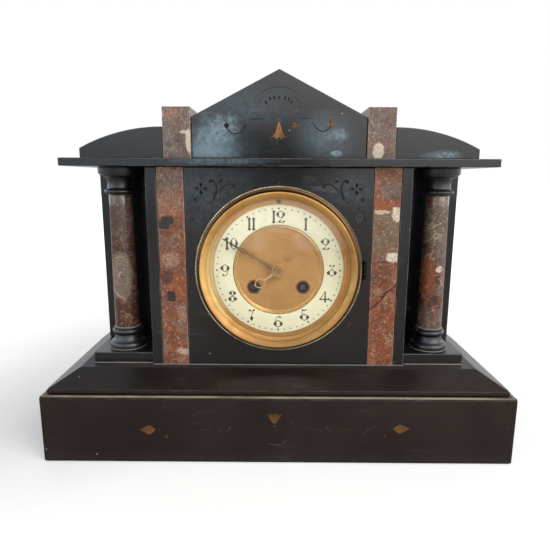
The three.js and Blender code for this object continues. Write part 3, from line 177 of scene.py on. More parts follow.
class ClockMarbleSettings(bpy.types.PropertyGroup):
    """Colours of the red marble."""

    red: colour("Red", "Main red brown of the marble", 128, 78, 54)
    dark_red: colour("Dark red", "Darker red brown pieces", 88, 54, 42)
    orange: colour("Orange", "Orange brown pieces", 158, 86, 42)
    pink: colour("Pink", "Pale pink pieces", 172, 130, 108)
    cream: colour("Cream", "Cream pieces and veins", 224, 208, 186)
    grey: colour("Grey", "Grey pieces", 114, 100, 92)
    green: colour("Grey green", "Grey green pieces", 118, 108, 84)
    beige: colour("Beige", "Grey beige lens in the left column", 160, 144, 124)
    dark: colour("Dark", "Dark grey pieces", 52, 47, 46)


class ClockMetalSettings(bpy.types.PropertyGroup):
    """Colours of the metal and the dial."""

    steps: count("Ring steps", "Facets round a dial ring", 144)
    beads: count("Rope beads", "Beads round the edge of the bezel", 220)
    bezel: colour("Bezel", "Gilt brass of the bezel", 220, 174, 100)
    bezel_dark: colour("Bezel shade", "Tarnish on the bezel", 176, 128, 66)
    # Painted shade: the bezel's lower and right-hand parts drawn darker, where they catch less light
    bezel_low: colour("Bezel low", "Darker gilding low on the bezel", 126, 88, 46)
    surround: colour("Surround", "Pale gilding round the enamel", 238, 208, 142)
    surround_base: colour("Surround base", "Main gilding of the sloping surround", 204, 156, 78)
    # Painted shade on the surround under the 6
    surround_low: colour("Surround low", "Darker gilding under the 6", 182, 136, 76)
    surround_top: colour("Surround top", "Golden gilding above the 12", 232, 168, 30)
    surround_right: colour("Surround right", "Golden gilding beside the 3", 228, 152, 38)
    # Dark metal in the hollow behind the rope; the same colour is painted shade on the bezel's inner lip and
    # in the regulator hole
    cove: colour("Cove", "Darkened hollow behind the bezel's edge", 74, 56, 36)
    rope: colour("Rope", "Beads round the edge of the bezel", 224, 214, 184)
    centre: colour("Dial centre", "Matt gilding in the middle of the dial", 206, 160, 94)
    centre_dark: colour("Dial centre shade", "Tarnish in the middle of the dial", 186, 136, 72)
    # Painted shade on the gilt centre under the 12
    centre_top: colour("Dial centre top", "Duller gilding under the 12", 168, 122, 64)
    centre_right: colour("Dial centre right", "Duller gilding beside the 3", 160, 116, 62)
    # Dark purple stain round the winding holes, and painted shade at their edges
    hole_stain: colour("Hole stain", "Dark stain round the winding holes", 58, 36, 44)
    enamel: colour("Enamel", "Ivory white of the chapter ring", 245, 244, 210)
    enamel_shade: colour("Enamel shade", "Stained places on the chapter ring", 228, 227, 192)
    enamel_dull: colour("Enamel dull", "Greyer places on the right of the chapter ring", 206, 202, 166)
    ink: colour("Ink", "Painted numerals and minute dots", 34, 40, 38)
    hand: colour("Hand", "Darkened gilding of the hands", 150, 116, 68)
    hand_shade: colour("Hand stain", "Browner gilding of the hands", 112, 82, 48)
    hand_dark: colour("Hand shade", "Bronze brown on the hands", 78, 54, 34)
    brass: colour("Brass", "Plates and wheels of the movement", 196, 158, 88)
    brass_dark: colour("Brass shade", "Old lacquer on the plates and wheels", 142, 104, 52)
    key: colour("Key square", "Dark squares in the winding holes", 96, 74, 78)
    steel: colour("Steel", "Arbors, pinions and rod", 150, 152, 156)
    steel_dark: colour("Steel shade", "Oil stain on the steel", 86, 84, 84)
    iron: colour("Iron", "Black painted stand of the gong", 40, 39, 38)
    iron_rust: colour("Iron rust", "Rust on the stand of the gong", 92, 58, 40)
    hinge: colour("Hinge", "Blackened knuckles of the bezel's hinge", 24, 23, 22)
    hinge_worn: colour("Worn hinge", "Worn places on the knuckles", 38, 34, 30)


class ClockStageSettings(bpy.types.PropertyGroup):
    """Camera and light."""

    lens: number("Lens", "Focal length, mm", 32.03, unit="CAMERA")
    pitch: tilt("Pitch", "Camera below level", 11.251)
    yaw: tilt("Yaw", "Camera to the right", -0.317)
    roll: tilt("Roll", "Camera roll", 0.226)
    eye: bpy.props.FloatVectorProperty(
        name="Eye", description="Place of the camera", default=(-0.00062, -0.44921, 0.23338), subtype="XYZ"
    )
    key_power: number("Key", "Soft light from the upper right", 21, unit="POWER")
    fill_power: number("Fill", "Soft light from the left", 2, unit="POWER")
    floor: colour("Floor", "White paper under the clock", 246, 246, 246)


def stone():
    return bpy.context.scene.clock_stone


def marble():
    return bpy.context.scene.clock_marble


def metal():
    return bpy.context.scene.clock_metal


# Selecting, editing and placing

def only(piece):
    """Select one piece and make it active."""
    bpy.ops.object.select_all(action="DESELECT")
    piece.select_set(True)
    bpy.context.view_layer.objects.active = piece


def open_mesh(piece):
    """Go into edit mode with the whole mesh selected."""
    only(piece)
    bpy.ops.object.mode_set(mode="EDIT")
    bpy.ops.mesh.select_all(action="SELECT")


def close_mesh():
    bpy.ops.object.mode_set(mode="OBJECT")


def place(piece, matrix):
    """Put a piece at its place, with the place in its mesh."""
    piece.matrix_world = matrix
    only(piece)
    bpy.ops.object.transform_apply(location=True, rotation=True, scale=True)


def joined(pieces, name):
    """Join pieces into the first one."""
    bpy.ops.object.select_all(action="DESELECT")
    for piece in pieces:
        piece.select_set(True)
    bpy.context.view_layer.objects.active = pieces[0]
    if len(pieces) > 1:
        bpy.ops.object.join()
    pieces[0].name = name
    pieces[0].data.name = name
    return pieces[0]


def tidy_mesh(piece):
    """Close the seams of a mesh and turn its faces outwards."""
    open_mesh(piece)
    bpy.ops.mesh.remove_doubles(threshold=1e-6)
    bpy.ops.mesh.dissolve_degenerate(threshold=1e-7)
    bpy.ops.mesh.select_all(action="SELECT")
    bpy.ops.mesh.normals_make_consistent(inside=False)
    close_mesh()


def smooth(piece, degrees):
    only(piece)
    bpy.ops.object.shade_smooth_by_angle(angle=math.radians(degrees))


def paint(piece, *looks):
    """Give a piece its finishes, one for each slot."""
    piece.data.materials.clear()
    for look in looks:
        piece.data.materials.append(finish(look))


def paint_faces(piece, index, test):
    """Give the faces that pass a test, by their middle and normal, one of the piece's materials."""
    for face in piece.data.polygons:
        if test(face.center, face.normal):
            face.material_index = index


def hand_over(piece, body, slot, *replaced):
    """Tie a finished piece to its body and hide the solids that it stands for; the slot is not used."""
    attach(piece, body)
    if replaced:
        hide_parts(*replaced)


def settle(piece, look, body, slot, *replaced, at=None, degrees=None):
    """Place, paint and smooth a piece where that is asked for, and hand it over."""
    if at is not None:
        place(piece, at)
    if look:
        paint(piece, look)
    if degrees:
        smooth(piece, degrees)
    hand_over(piece, body, slot, *replaced)


# Shapes

def box_piece(name, middle, size):
    """Plain box with its place and size, in metres, in its mesh."""
    bpy.ops.object.select_all(action="DESELECT")
    bpy.ops.mesh.primitive_cube_add(size=1, location=middle, scale=size)
    piece = bpy.context.object
    piece.name = name
    bpy.ops.object.transform_apply(location=True, rotation=True, scale=True)
    return piece


def eased(piece, millimetres):
    """Round all the edges of a box."""
    open_mesh(piece)
    bpy.ops.mesh.bevel(offset=millimetres * MM, segments=2, affect="EDGES")
    close_mesh()


def rubbed_edges(piece, width, sharpness=20):
    """Round the sharp edges; the rounding takes the piece's second material."""
    open_mesh(piece)
    bpy.ops.mesh.select_mode(type="EDGE")
    bpy.ops.mesh.select_all(action="DESELECT")
    bpy.ops.mesh.edges_select_sharp(sharpness=math.radians(sharpness))
    bpy.ops.mesh.bevel(offset=width, segments=2, affect="EDGES", clamp_overlap=True, material=1)
    bpy.ops.mesh.select_mode(type="VERT")
    close_mesh()


def broken_edges(piece, millimetres, segments):
    """Bevel the sharp edges of a cut or cast piece."""
    only(piece)
    modifier = piece.modifiers.new("Broken edges", "BEVEL")
    modifier.width = millimetres * MM
    modifier.segments = segments
    modifier.limit_method = "ANGLE"
    modifier.angle_limit = math.radians(50)
    bpy.ops.object.modifier_apply(modifier=modifier.name)


def cut_with(piece, cutter):
    """Cut one closed mesh out of another."""
    only(piece)
    modifier = piece.modifiers.new("Cut", "BOOLEAN")
    modifier.operation = "DIFFERENCE"
    modifier.solver = "EXACT"
    modifier.object = cutter
    bpy.ops.object.modifier_apply(modifier=modifier.name)
    bpy.data.objects.remove(cutter, do_unlink=True)


def merged_copy(node, name):
    """Copy of a solid with its triangles joined into whole faces."""
    source = nodes[node]
    piece = source.copy()
    piece.data = source.data.copy()
    piece.name = name
    piece.parent = None
    piece.matrix_world = Matrix.Identity(4)
    piece.hide_render = False
    bpy.context.collection.objects.link(piece)
    only(piece)
    if piece.data.has_custom_normals:
        bpy.ops.mesh.customdata_custom_splitnormals_clear()
    open_mesh(piece)
    bpy.ops.mesh.remove_doubles(threshold=1e-6)
    bpy.ops.mesh.mark_sharp(clear=True)
    bpy.ops.mesh.dissolve_limited(angle_limit=math.radians(1), use_dissolve_boundaries=False)
    bpy.ops.mesh.faces_shade_flat()
    close_mesh()
    paint_faces(piece, 0, lambda centre, normal: True)
    return piece


def new_curve(name, dimensions):
    curve = bpy.data.curves.new(name, "CURVE")
    curve.dimensions = dimensions
    return curve


def add_line(curve, points, closed=False):
    """Add a line through points, in metres, to a curve."""
    spline = curve.splines.new("POLY")
    spline.points.add(len(points) - 1)
    for point, at in zip(spline.points, points):
        point.co = (*at, 1)
    spline.use_cyclic_u = closed


def mesh_of(name, curve):
    """Mesh piece made from a curve."""
    piece = bpy.data.objects.new(name, curve)
    bpy.context.collection.objects.link(piece)
    only(piece)
    bpy.ops.object.convert(target="MESH")
    return bpy.context.object


def turned(name, profile, steps):
    """Turn an outline of (radius, height) pairs, in millimetres, about the Z axis."""
    curve = new_curve(name, "3D")
    add_line(curve, [mm(radius, 0, height) for radius, height in profile])
    piece = mesh_of(name, curve)
    open_mesh(piece)
    bpy.ops.mesh.spin(steps=steps, angle=FULL_TURN, center=(0, 0, 0), axis=(0, 0, 1))
    close_mesh()
    tidy_mesh(piece)
    return piece


def pin_of(name, radius, low, high, steps):
    """Plain round bar between two heights, in millimetres."""
    return turned(name, [(0, low), (radius, low), (radius, high), (0, high)], steps)


def flat(name, outlines, thickness, rounding=0.0):
    """Flat plate from closed outlines in millimetres; an outline inside another is a hole."""
    curve = new_curve(name, "2D")
    curve.fill_mode = "BOTH"
    curve.extrude = max(thickness / 2 - rounding, 0) * MM
    curve.bevel_depth = rounding * MM
    curve.bevel_resolution = 1
    curve.offset = -rounding * MM
    for outline in outlines:
        add_line(curve, [mm(x, y, 0) for x, y in outline], closed=True)
    piece = mesh_of(name, curve)
    tidy_mesh(piece)
    return piece


def tube(name, points, radius, sides):
    """Round wire through points in metres, with closed ends."""
    curve = new_curve(name, "3D")
    curve.bevel_depth = radius
    curve.bevel_resolution = max(sides // 4 - 1, 1)
    curve.use_fill_caps = True
    add_line(curve, points)
    piece = mesh_of(name, curve)
    tidy_mesh(piece)
    smooth(piece, ROUND_WIRE)
    return piece


def knuckles(side, spans, leaf_from, bore=PIN_BORE):
    """Hinge knuckles along the dial's y axis, each with a leaf that runs back to the ring."""
    made = []
    radius, edge = KNUCKLE_RADIUS, KNUCKLE_RADIUS - 0.15
    leaf_to = HINGE_ASIDE - radius * 0.75
    for low, high in spans:
        profile = [(bore, low), (edge, low), (radius, low + 0.15), (radius, high - 0.15), (edge, high)]
        barrel = turned("hinge_knuckle", [*profile, (bore, high), (bore, low)], 28)
        place(barrel, moved(side * HINGE_ASIDE, 0, HINGE_OUT) @ BACKWARD)
        middle = mm(side * (leaf_to + leaf_from) / 2, (low + high) / 2, HINGE_OUT - radius + 0.65)
        plate = box_piece("hinge_leaf", middle, mm(leaf_to - leaf_from, high - low, 0.9))
        eased(plate, 0.12)
        made += [barrel, plate]
    return made


def oval(x, y, across, up, points=32):
    turn = [FULL_TURN * i / points for i in range(points)]
    return [(x + across * math.cos(a), y + up * math.sin(a)) for a in turn]


def circle(x, y, radius, points=24):
    """Closed round outline."""
    return oval(x, y, radius, radius, points)


def lozenge(x, y, width, height):
    """Heavy lozenge with slightly hollow sides."""
    right = [(0.6, 0), (0.27, 0.25), (0, 0.55), (-0.27, 0.25)]
    corners = right + [(-across, -up) for across, up in right]
    return [(x + width * across, y + height * up) for across, up in corners]


def leaf(x, y, long, wide, turn, points=10):
    """Pointed leaf outline with its length along the direction of turn, in degrees."""
    arc = [math.pi * i / points for i in range(points + 1)]
    half = [(math.cos(a), math.sin(a) ** 1.3) for a in arc]
    outline = [(u * long / 2, v * wide / 2) for u, v in half]
    outline += [(u * long / 2, -v * wide / 2) for u, v in reversed(half[1:-1])]
    c, s = math.cos(math.radians(turn)), math.sin(math.radians(turn))
    return [(x + u * c - v * s, y + u * s + v * c) for u, v in outline]


def between(p, q, r, s, t):
    """Value at share t of the way from q to r, on a smooth curve that also passes p and s."""
    bend = (2 * p - 5 * q + 4 * r - s) * t**2 + (3 * q - p - 3 * r + s) * t**3
    return 0.5 * (2 * q + (r - p) * t + bend)


def through(points, steps=6):
    """Smooth path through points; each point may carry further values, such as a width."""
    path = []
    last = len(points) - 1
    for i in range(last):
        near = points[max(i - 1, 0)], points[i], points[i + 1], points[min(i + 2, last)]
        for k in range(steps):
            path.append(tuple(between(*values, k / steps) for values in zip(*near)))
    path.append(points[last])
    return path


def stroke(points, steps=6):
    """Closed outline of a drawn line through (x, y, width) points."""
    path = through(points, steps)
    left = []
    right = []
    for i, (x, y, width) in enumerate(path):
        before, after = path[max(i - 1, 0)], path[min(i + 1, len(path) - 1)]
        along = Vector((after[0] - before[0], after[1] - before[1])).normalized()
        half = max(width, 0.05) / 2
        left.append((x - along.y * half, y + along.x * half))
        right.append((x + along.y * half, y - along.x * half))
    return left + right[::-1]


def mirrored(outlines):
    return [[(-x, y) for x, y in reversed(outline)] for outline in outlines]


def shifted(outline, x, y):
    return [(a + x, b + y) for a, b in outline]


def half_round(radius, bottom, top, points=8):
    """Turned bead: half of a circle or oval between two heights."""
    middle, rise = (bottom + top) / 2, (top - bottom) / 2
    bulge = min(rise, radius)
    turn = [-math.pi / 2 + math.pi * i / points for i in range(points + 1)]
    return [(radius - bulge + bulge * math.cos(a), middle + rise * math.sin(a)) for a in turn]


def sweep(start, pull, end, points=8):
    """Turned hollow from start to end, drawn towards the point pull."""
    path = []
    for i in range(1, points + 1):
        t = i / points
        curved = ((1 - t) ** 2 * a + 2 * t * (1 - t) * b + t**2 * c for a, b, c in zip(start, pull, end))
        path.append(tuple(curved))
    return path


# Shader effects

def set_socket(tree, socket, value):
    """Link a socket or give it a plain value; a colour of three values is made opaque."""
    if isinstance(value, bpy.types.NodeSocket):
        tree.links.new(value, socket)
    elif socket.type == "RGBA" and len(value) == 3:
        socket.default_value = (*value, 1)
    else:
        socket.default_value = value


def shader_node(tree, kind, values=None, **settings):
    """New shader node; values are socket names with a plain value or a socket to link."""
    made = tree.nodes.new(kind)
    for key, value in settings.items():
        setattr(made, key, value)
    for key, value in (values or {}).items():
        set_socket(tree, made.inputs[key], value)
    return made


def math_node(tree, operation, first, second=0.0, third=0.0):
    """Math node; gives back its result socket."""
    values = {0: first, 1: second, 2: third}
    return shader_node(tree, "ShaderNodeMath", values, operation=operation).outputs[0]


def product(tree, first, second):
    return math_node(tree, "MULTIPLY", first, second)


def lifted(tree, value, amount, start):
    """Start with a share of a value added."""
    return math_node(tree, "MULTIPLY_ADD", value, amount, start)


def vector_math(tree, operation, first, second=(0, 0, 0), scale=1.0):
    """Vector maths node; gives back its vector socket."""
    values = {0: first, "Scale": scale} if operation == "SCALE" else {0: first, 1: second}
    return shader_node(tree, "ShaderNodeVectorMath", values, operation=operation).outputs["Vector"]


def far_of(tree, vector):
    """Length of a vector."""
    return shader_node(tree, "ShaderNodeVectorMath", {0: vector}, operation="LENGTH").outputs["Value"]


def split(tree, vector):
    """X, Y and Z of a vector."""
    return shader_node(tree, "ShaderNodeSeparateXYZ", {"Vector": vector}).outputs


def levels_of(tree, value):
    """Red, Green and Blue of a colour."""
    return shader_node(tree, "ShaderNodeSeparateColor", {"Color": value}).outputs


def grey_of(tree, value):
    """Grey colour of a value."""
    levels = {"Red": value, "Green": value, "Blue": value}
    return shader_node(tree, "ShaderNodeCombineColor", levels).outputs["Color"]


def map_range(tree, value, low, high, to_low=0.0, to_high=1.0):
    values = {"Value": value, "From Min": low, "From Max": high, "To Min": to_low, "To Max": to_high}
    return shader_node(tree, "ShaderNodeMapRange", values, clamp=True).outputs["Result"]


def noise_of(tree, vector, scale, detail=4.0, roughness=0.55, distortion=0.0, output="Fac"):
    values = {
        "Vector": vector, "Scale": scale, "Detail": detail,
        "Roughness": roughness, "Distortion": distortion,
    }
    return shader_node(tree, "ShaderNodeTexNoise", values).outputs[output]


def cells_of(tree, vector, scale, feature="F1"):
    values = {"Vector": vector, "Scale": scale}
    return shader_node(tree, "ShaderNodeTexVoronoi", values, feature=feature).outputs


def stretched(tree, vector, scale):
    return shader_node(tree, "ShaderNodeMapping", {"Vector": vector, "Scale": scale}).outputs["Vector"]


def blended(tree, share, first, second):
    """Mix of two values by a share."""
    return shader_node(tree, "ShaderNodeMix", {"Factor": share, "A": first, "B": second}).outputs["Result"]


def mixed(tree, share, first, second, blend="MIX"):
    """Mix of two colours by a share."""
    made = shader_node(tree, "ShaderNodeMix", data_type="RGBA", blend_type=blend)
    sockets = {item.identifier: item for item in made.inputs}
    for key, value in (("Factor_Float", share), ("A_Color", first), ("B_Color", second)):
        set_socket(tree, sockets[key], value)
    return next(item for item in made.outputs if item.identifier == "Result_Color")


def laid(tree, base, mask, amount, top):
    """Colour laid over another where a mask shows it."""
    return mixed(tree, product(tree, mask, amount), base, top)


def shader_mix(tree, share, first, second):
    """Mix of two shader nodes by a share."""
    return shader_node(tree, "ShaderNodeMixShader", {0: share, 1: first.outputs[0], 2: second.outputs[0]})


def object_vector(tree):
    return shader_node(tree, "ShaderNodeTexCoord").outputs["Object"]


def effect(name, **inputs):
    """New node group; gives back its tree and its input sockets."""
    tree = bpy.data.node_groups.new(name, "ShaderNodeTree")
    for socket, default in inputs.items():
        kind = "NodeSocketVector" if isinstance(default, tuple) else "NodeSocketFloat"
        made = tree.interface.new_socket(socket, in_out="INPUT", socket_type=kind)
        made.default_value = default
    return tree, tree.nodes.new("NodeGroupInput").outputs


def close_effect(tree, outputs):
    """Give a node group its named results."""
    for name in outputs:
        tree.interface.new_socket(name, in_out="OUTPUT", socket_type="NodeSocketFloat")
    shader_node(tree, "NodeGroupOutput", outputs)


def use_effect(tree, name, **values):
    """Place one of the effects in a material."""
    return shader_node(tree, "ShaderNodeGroup", values, node_tree=bpy.data.node_groups[name]).outputs


def build_polish_effect():
    """Old wax polish: clouds, smears, specks and a faint unevenness."""
    tree, given = effect("Old polish", Scale=1.0)
    vector = vector_math(tree, "SCALE", object_vector(tree), scale=given["Scale"])
    cloud = noise_of(tree, vector, 11, 5, 0.6, 0.4)
    rubbed = noise_of(tree, stretched(tree, vector, (9, 9, 70)), 1.6, 6, 0.65, 0.8)
    patch = noise_of(tree, vector, 24, 3, 0.5, 0.3)
    cells = cells_of(tree, vector, 120.0)
    spot = math_node(tree, "LESS_THAN", cells["Distance"], 0.075)
    chosen = math_node(tree, "GREATER_THAN", levels_of(tree, cells["Color"])["Red"], 0.93)
    close_effect(tree, {
        "Cloud": map_range(tree, cloud, 0.38, 0.68),
        "Smear": product(tree, map_range(tree, rubbed, 0.52, 0.74), map_range(tree, patch, 0.5, 0.72)),
        "Speck": product(tree, spot, chosen),
        "Height": noise_of(tree, vector, 320, 3, 0.6),
    })


def build_patch_effect():
    """One ragged patch of a given size at a given place; square makes it angular."""
    tree, given = effect(
        "Placed patch", Centre=(0, 0, 0), Size=(0.01, 1, 0.01), Ragged=0.5, Grain=90.0, Soft=0.25, Square=0.0
    )
    vector = object_vector(tree)
    share = vector_math(tree, "DIVIDE", vector_math(tree, "SUBTRACT", vector, given["Centre"]), given["Size"])
    x, y, z = split(tree, vector_math(tree, "ABSOLUTE", share))
    near = blended(tree, given["Square"], far_of(tree, share), math_node(tree, "MAXIMUM", x, z))
    rough = noise_of(tree, vector, given["Grain"], 6, 0.65, 0.6)
    shift = product(tree, math_node(tree, "SUBTRACT", rough, 0.5), given["Ragged"])
    inner = math_node(tree, "SUBTRACT", 1.0, given["Soft"])
    outer = math_node(tree, "ADD", 1.0, given["Soft"])
    close_effect(tree, {"Mask": map_range(tree, lifted(tree, shift, 2.0, near), inner, outer, 1.0, 0.0)})


def build_breccia_effect():
    """Broken marble: cloudy ground, pieces, chips, flecks, pits, veins between the pieces, and grain."""
    tree, given = effect("Breccia", Scale=120.0, Seed=0.0)
    both = {"X": given["Seed"], "Y": given["Seed"]}
    seed = shader_node(tree, "ShaderNodeCombineXYZ", both).outputs["Vector"]
    at = vector_math(tree, "ADD", object_vector(tree), seed)
    bent = at
    for scale, amount in ((70, 0.012), (330, 0.003)):
        drift = noise_of(tree, at, scale, 4, 0.6, output="Color")
        drift = vector_math(tree, "SUBTRACT", drift, (0.5, 0.5, 0.5))
        bent = vector_math(tree, "ADD", bent, vector_math(tree, "SCALE", drift, scale=amount))

    def cells(times, feature="F1"):
        return cells_of(tree, bent, product(tree, given["Scale"], times), feature)

    pieces = levels_of(tree, cells(1.0)["Color"])
    chips = levels_of(tree, cells(3.3)["Color"])
    spread = map_range(tree, noise_of(tree, at, 95, 3, 0.5), 0.32, 0.6)
    specks = cells(5.0)
    luck = levels_of(tree, specks["Color"])["Blue"]
    spot = map_range(tree, specks["Distance"], 0.25, 0.5, 1.0, 0.0)
    line = map_range(tree, cells(0.55, "DISTANCE_TO_EDGE")["Distance"], 0.0, 0.03, 1.0, 0.0)
    broken = map_range(tree, noise_of(tree, at, 45, 4, 0.6), 0.47, 0.6)
    close_effect(tree, {
        "Ground": map_range(tree, noise_of(tree, at, 34, 7, 0.68, 0.9), 0.3, 0.7),
        "Piece": pieces["Red"],
        "Piece share": math_node(tree, "GREATER_THAN", pieces["Green"], 0.45),
        "Chip": chips["Red"],
        "Chip share": map_range(tree, product(tree, chips["Green"], spread), 0.34, 0.4),
        "Fleck": product(tree, spot, math_node(tree, "GREATER_THAN", luck, 0.83)),
        "Pit": product(tree, spot, math_node(tree, "LESS_THAN", luck, 0.2)),
        "Vein": product(tree, line, broken),
        "Grain": noise_of(tree, bent, 560, 7, 0.75),
    })


def build_turning_effect():
    """Fine rings left by the lathe about the dial's axis, with brighter and duller bands."""
    tree, given = effect("Turning marks", Fineness=1.0)
    x, y, z = split(tree, vector_math(tree, "SUBTRACT", object_vector(tree), tuple(DIAL_CENTRE)))
    radius = math_node(tree, "SQRT", math_node(tree, "ADD", product(tree, x, x), product(tree, z, z)))
    marks = {}
    for name, rings, detail in (("Ring", 4200, 3.0), ("Band", 420, 2.0)):
        values = {"W": product(tree, radius, product(tree, given["Fineness"], rings)), "Detail": detail}
        marks[name] = shader_node(tree, "ShaderNodeTexNoise", values, noise_dimensions="1D").outputs["Fac"]
    close_effect(tree, marks)


def build_tarnish_effect():
    """Tarnish on old metal: broad stains, small spots and a hand-rubbed grain."""
    tree, given = effect("Tarnish", Scale=1.0)
    vector = vector_math(tree, "SCALE", object_vector(tree), scale=given["Scale"])
    cells = cells_of(tree, vector, 210.0)
    spot = map_range(tree, cells["Distance"], 0.1, 0.22, 1.0, 0.0)
    chosen = math_node(tree, "GREATER_THAN", levels_of(tree, cells["Color"])["Red"], 0.86)
    close_effect(tree, {
        "Stain": map_range(tree, noise_of(tree, vector, 38, 5, 0.6, 0.6), 0.4, 0.7),
        "Spot": product(tree, spot, chosen),
        "Grain": noise_of(tree, vector, 700, 3, 0.6),
    })


def build_effects():
    build_polish_effect()
    build_patch_effect()
    build_breccia_effect()
    build_turning_effect()
    build_tarnish_effect()


# Materials

def new_material(name):
    """New material; gives back its tree and the Principled shader that the tree ends in."""
    material = bpy.data.materials.new(name)
    material.use_nodes = True
    tree = material.node_tree
    tree.nodes.clear()
    surface = shader_node(tree, "ShaderNodeBsdfPrincipled")
    shader_node(tree, "ShaderNodeOutputMaterial", {"Surface": surface.outputs["BSDF"]})
    return tree, surface


def end_in(tree, shader):
    """Let a material end in another shader."""
    output = next(item for item in tree.nodes if item.type == "OUTPUT_MATERIAL")
    tree.links.new(shader.outputs[0], output.inputs["Surface"])


def set_surface(tree, surface, **values):
    """Set the shader's sockets by their names in lower case with underscores."""
    names = {socket.name.lower().replace(" ", "_"): socket for socket in surface.inputs}
    for key, value in values.items():
        set_socket(tree, names[key], value)


def bumped(tree, height, strength, distance):
    values = {"Height": height, "Strength": strength, "Distance": distance}
    return shader_node(tree, "ShaderNodeBump", values).outputs["Normal"]


def patch_over(tree, base, top, centre, size, amount, ragged, soft, grain, square=0.0):
    """Lay a ragged patch of colour over a colour; centre and size are in millimetres."""
    mask = use_effect(
        tree, "Placed patch", Centre=mm(*centre), Size=mm(*size),
        Ragged=ragged, Grain=grain, Soft=soft, Square=square,
    )["Mask"]
    return laid(tree, base, mask, amount, top)


def slate_material(name, dark, cloud, scuffs, rough, patches=(), painted_sheens=()):
    """Polished slate with old wax, smears and specks; where given, cloudy patches of dull bloom and painted
    reflection, and smooth patches of painted reflection.
    """
    shade = stone()
    tree, surface = new_material(name)
    polish = use_effect(tree, "Old polish", Scale=1.0)
    base = mixed(tree, polish["Cloud"], getattr(shade, dark), getattr(shade, cloud))
    base = laid(tree, base, polish["Smear"], scuffs, shade.scuff)
    mottle = noise_of(tree, object_vector(tree), 260, 8, 0.78, 0.3)
    # Cloudy patches: dull bloom, and painted reflection of a bluish window
    for centre, size, amount, ragged, soft in patches:
        share = map_range(tree, mottle, 0.4, 0.6, 0.3 * amount, 1.15 * amount)
        base = patch_over(tree, base, shade.bloom, centre, size, share, ragged, soft, 60.0)
    # Smooth patches with no mottle: painted reflection of the window
    for painted_sheen in painted_sheens:
        base = patch_over(tree, base, shade.bloom, *painted_sheen, 60.0)
    roughness = lifted(tree, polish["Smear"], 0.25, rough)
    set_surface(
        tree,
        surface,
        base_color=laid(tree, base, polish["Speck"], 0.55, (0.6, 0.6, 0.58)),
        roughness=lifted(tree, polish["Cloud"], 0.06, roughness),
        specular_ior_level=0.46,
        normal=bumped(tree, polish["Height"], 0.12, 0.0002),
    )


def arris_material(name, dark, wear, shine=0.34):
    """Rubbed edge: bare stone where the corner has been knocked, polish elsewhere."""
    shade = stone()
    tree, surface = new_material(name)
    polish = use_effect(tree, "Old polish", Scale=2.4)
    rub = noise_of(tree, object_vector(tree), 60, 6, 0.7, 0.6)
    bare = map_range(tree, rub, 0.42, 0.66)
    base = mixed(tree, bare, getattr(shade, dark), getattr(shade, wear))
    set_surface(
        tree,
        surface,
        base_color=laid(tree, base, polish["Smear"], 0.5, shade.scuff),
        roughness=lifted(tree, bare, 0.3, 0.35),
        specular_ior_level=shine,
        normal=bumped(tree, rub, 0.3, 0.0006),
    )


def ledge_material(name, dark, pale, share, painted_shade_beside=None):
    """Ledge with old wax and dust lying on it, kept clear of the sides and the front of a given solid, where
    the ledge stays dark as painted shade; on the plinth the pale strip left stands for dust and painted
    highlight.
    """
    shade = stone()
    tree, surface = new_material(name)
    polish = use_effect(tree, "Old polish", Scale=1.7)
    vector = object_vector(tree)
    lying = noise_of(tree, stretched(tree, vector, (0.25, 1, 1)), 60, 6, 0.65, 0.5)
    dust = product(tree, map_range(tree, lying, 0.3, 0.62), share)
    # Painted shade: near the given solid the ledge keeps its dark colour, as if shaded by the solid's
    # overhang
    if painted_shade_beside:
        low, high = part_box(painted_shade_beside)
        x, y, z = split(tree, vector)
        beside = math_node(tree, "SUBTRACT", math_node(tree, "ABSOLUTE", x), high.x)
        before = math_node(tree, "SUBTRACT", low.y, y)
        out = math_node(tree, "MAXIMUM", beside, before)
        dust = product(tree, dust, map_range(tree, out, 1.2 * MM, 2.8 * MM))
    set_surface(
        tree,
        surface,
        base_color=mixed(tree, dust, getattr(shade, dark), getattr(shade, pale)),
        roughness=lifted(tree, polish["Cloud"], 0.2, 0.38),
        specular_ior_level=0.34,
        normal=bumped(tree, lying, 0.15, 0.0004),
    )


def line_material(name, base, other, rough, metallic=0.0):
    """Filling of an engraved line, uneven and partly worn away."""
    shade = stone()
    tree, surface = new_material(name)
    tarnish = use_effect(tree, "Tarnish", Scale=3.0)
    filled = mixed(tree, tarnish["Stain"], getattr(shade, base), getattr(shade, other))
    set_surface(
        tree,
        surface,
        base_color=laid(tree, filled, tarnish["Spot"], 0.6, shade.incised),
        roughness=lifted(tree, tarnish["Grain"], 0.2, rough),
        metallic=metallic,
        specular_ior_level=0.25,
        normal=bumped(tree, tarnish["Grain"], 0.3, 0.0002),
    )


def ramp_of(tree, value, keys, kind):
    """Colour ramp over evenly spaced marble colours."""
    made = shader_node(tree, "ShaderNodeValToRGB", {"Fac": value})
    ramp = made.color_ramp
    ramp.interpolation = kind
    while len(ramp.elements) < len(keys):
        ramp.elements.new(0.5)
    steps = len(keys) if kind == "CONSTANT" else len(keys) - 1
    for i, (element, key) in enumerate(zip(ramp.elements, keys)):
        element.position = i / steps
        element.color = (*getattr(marble(), key), 1)
    return made.outputs["Color"]


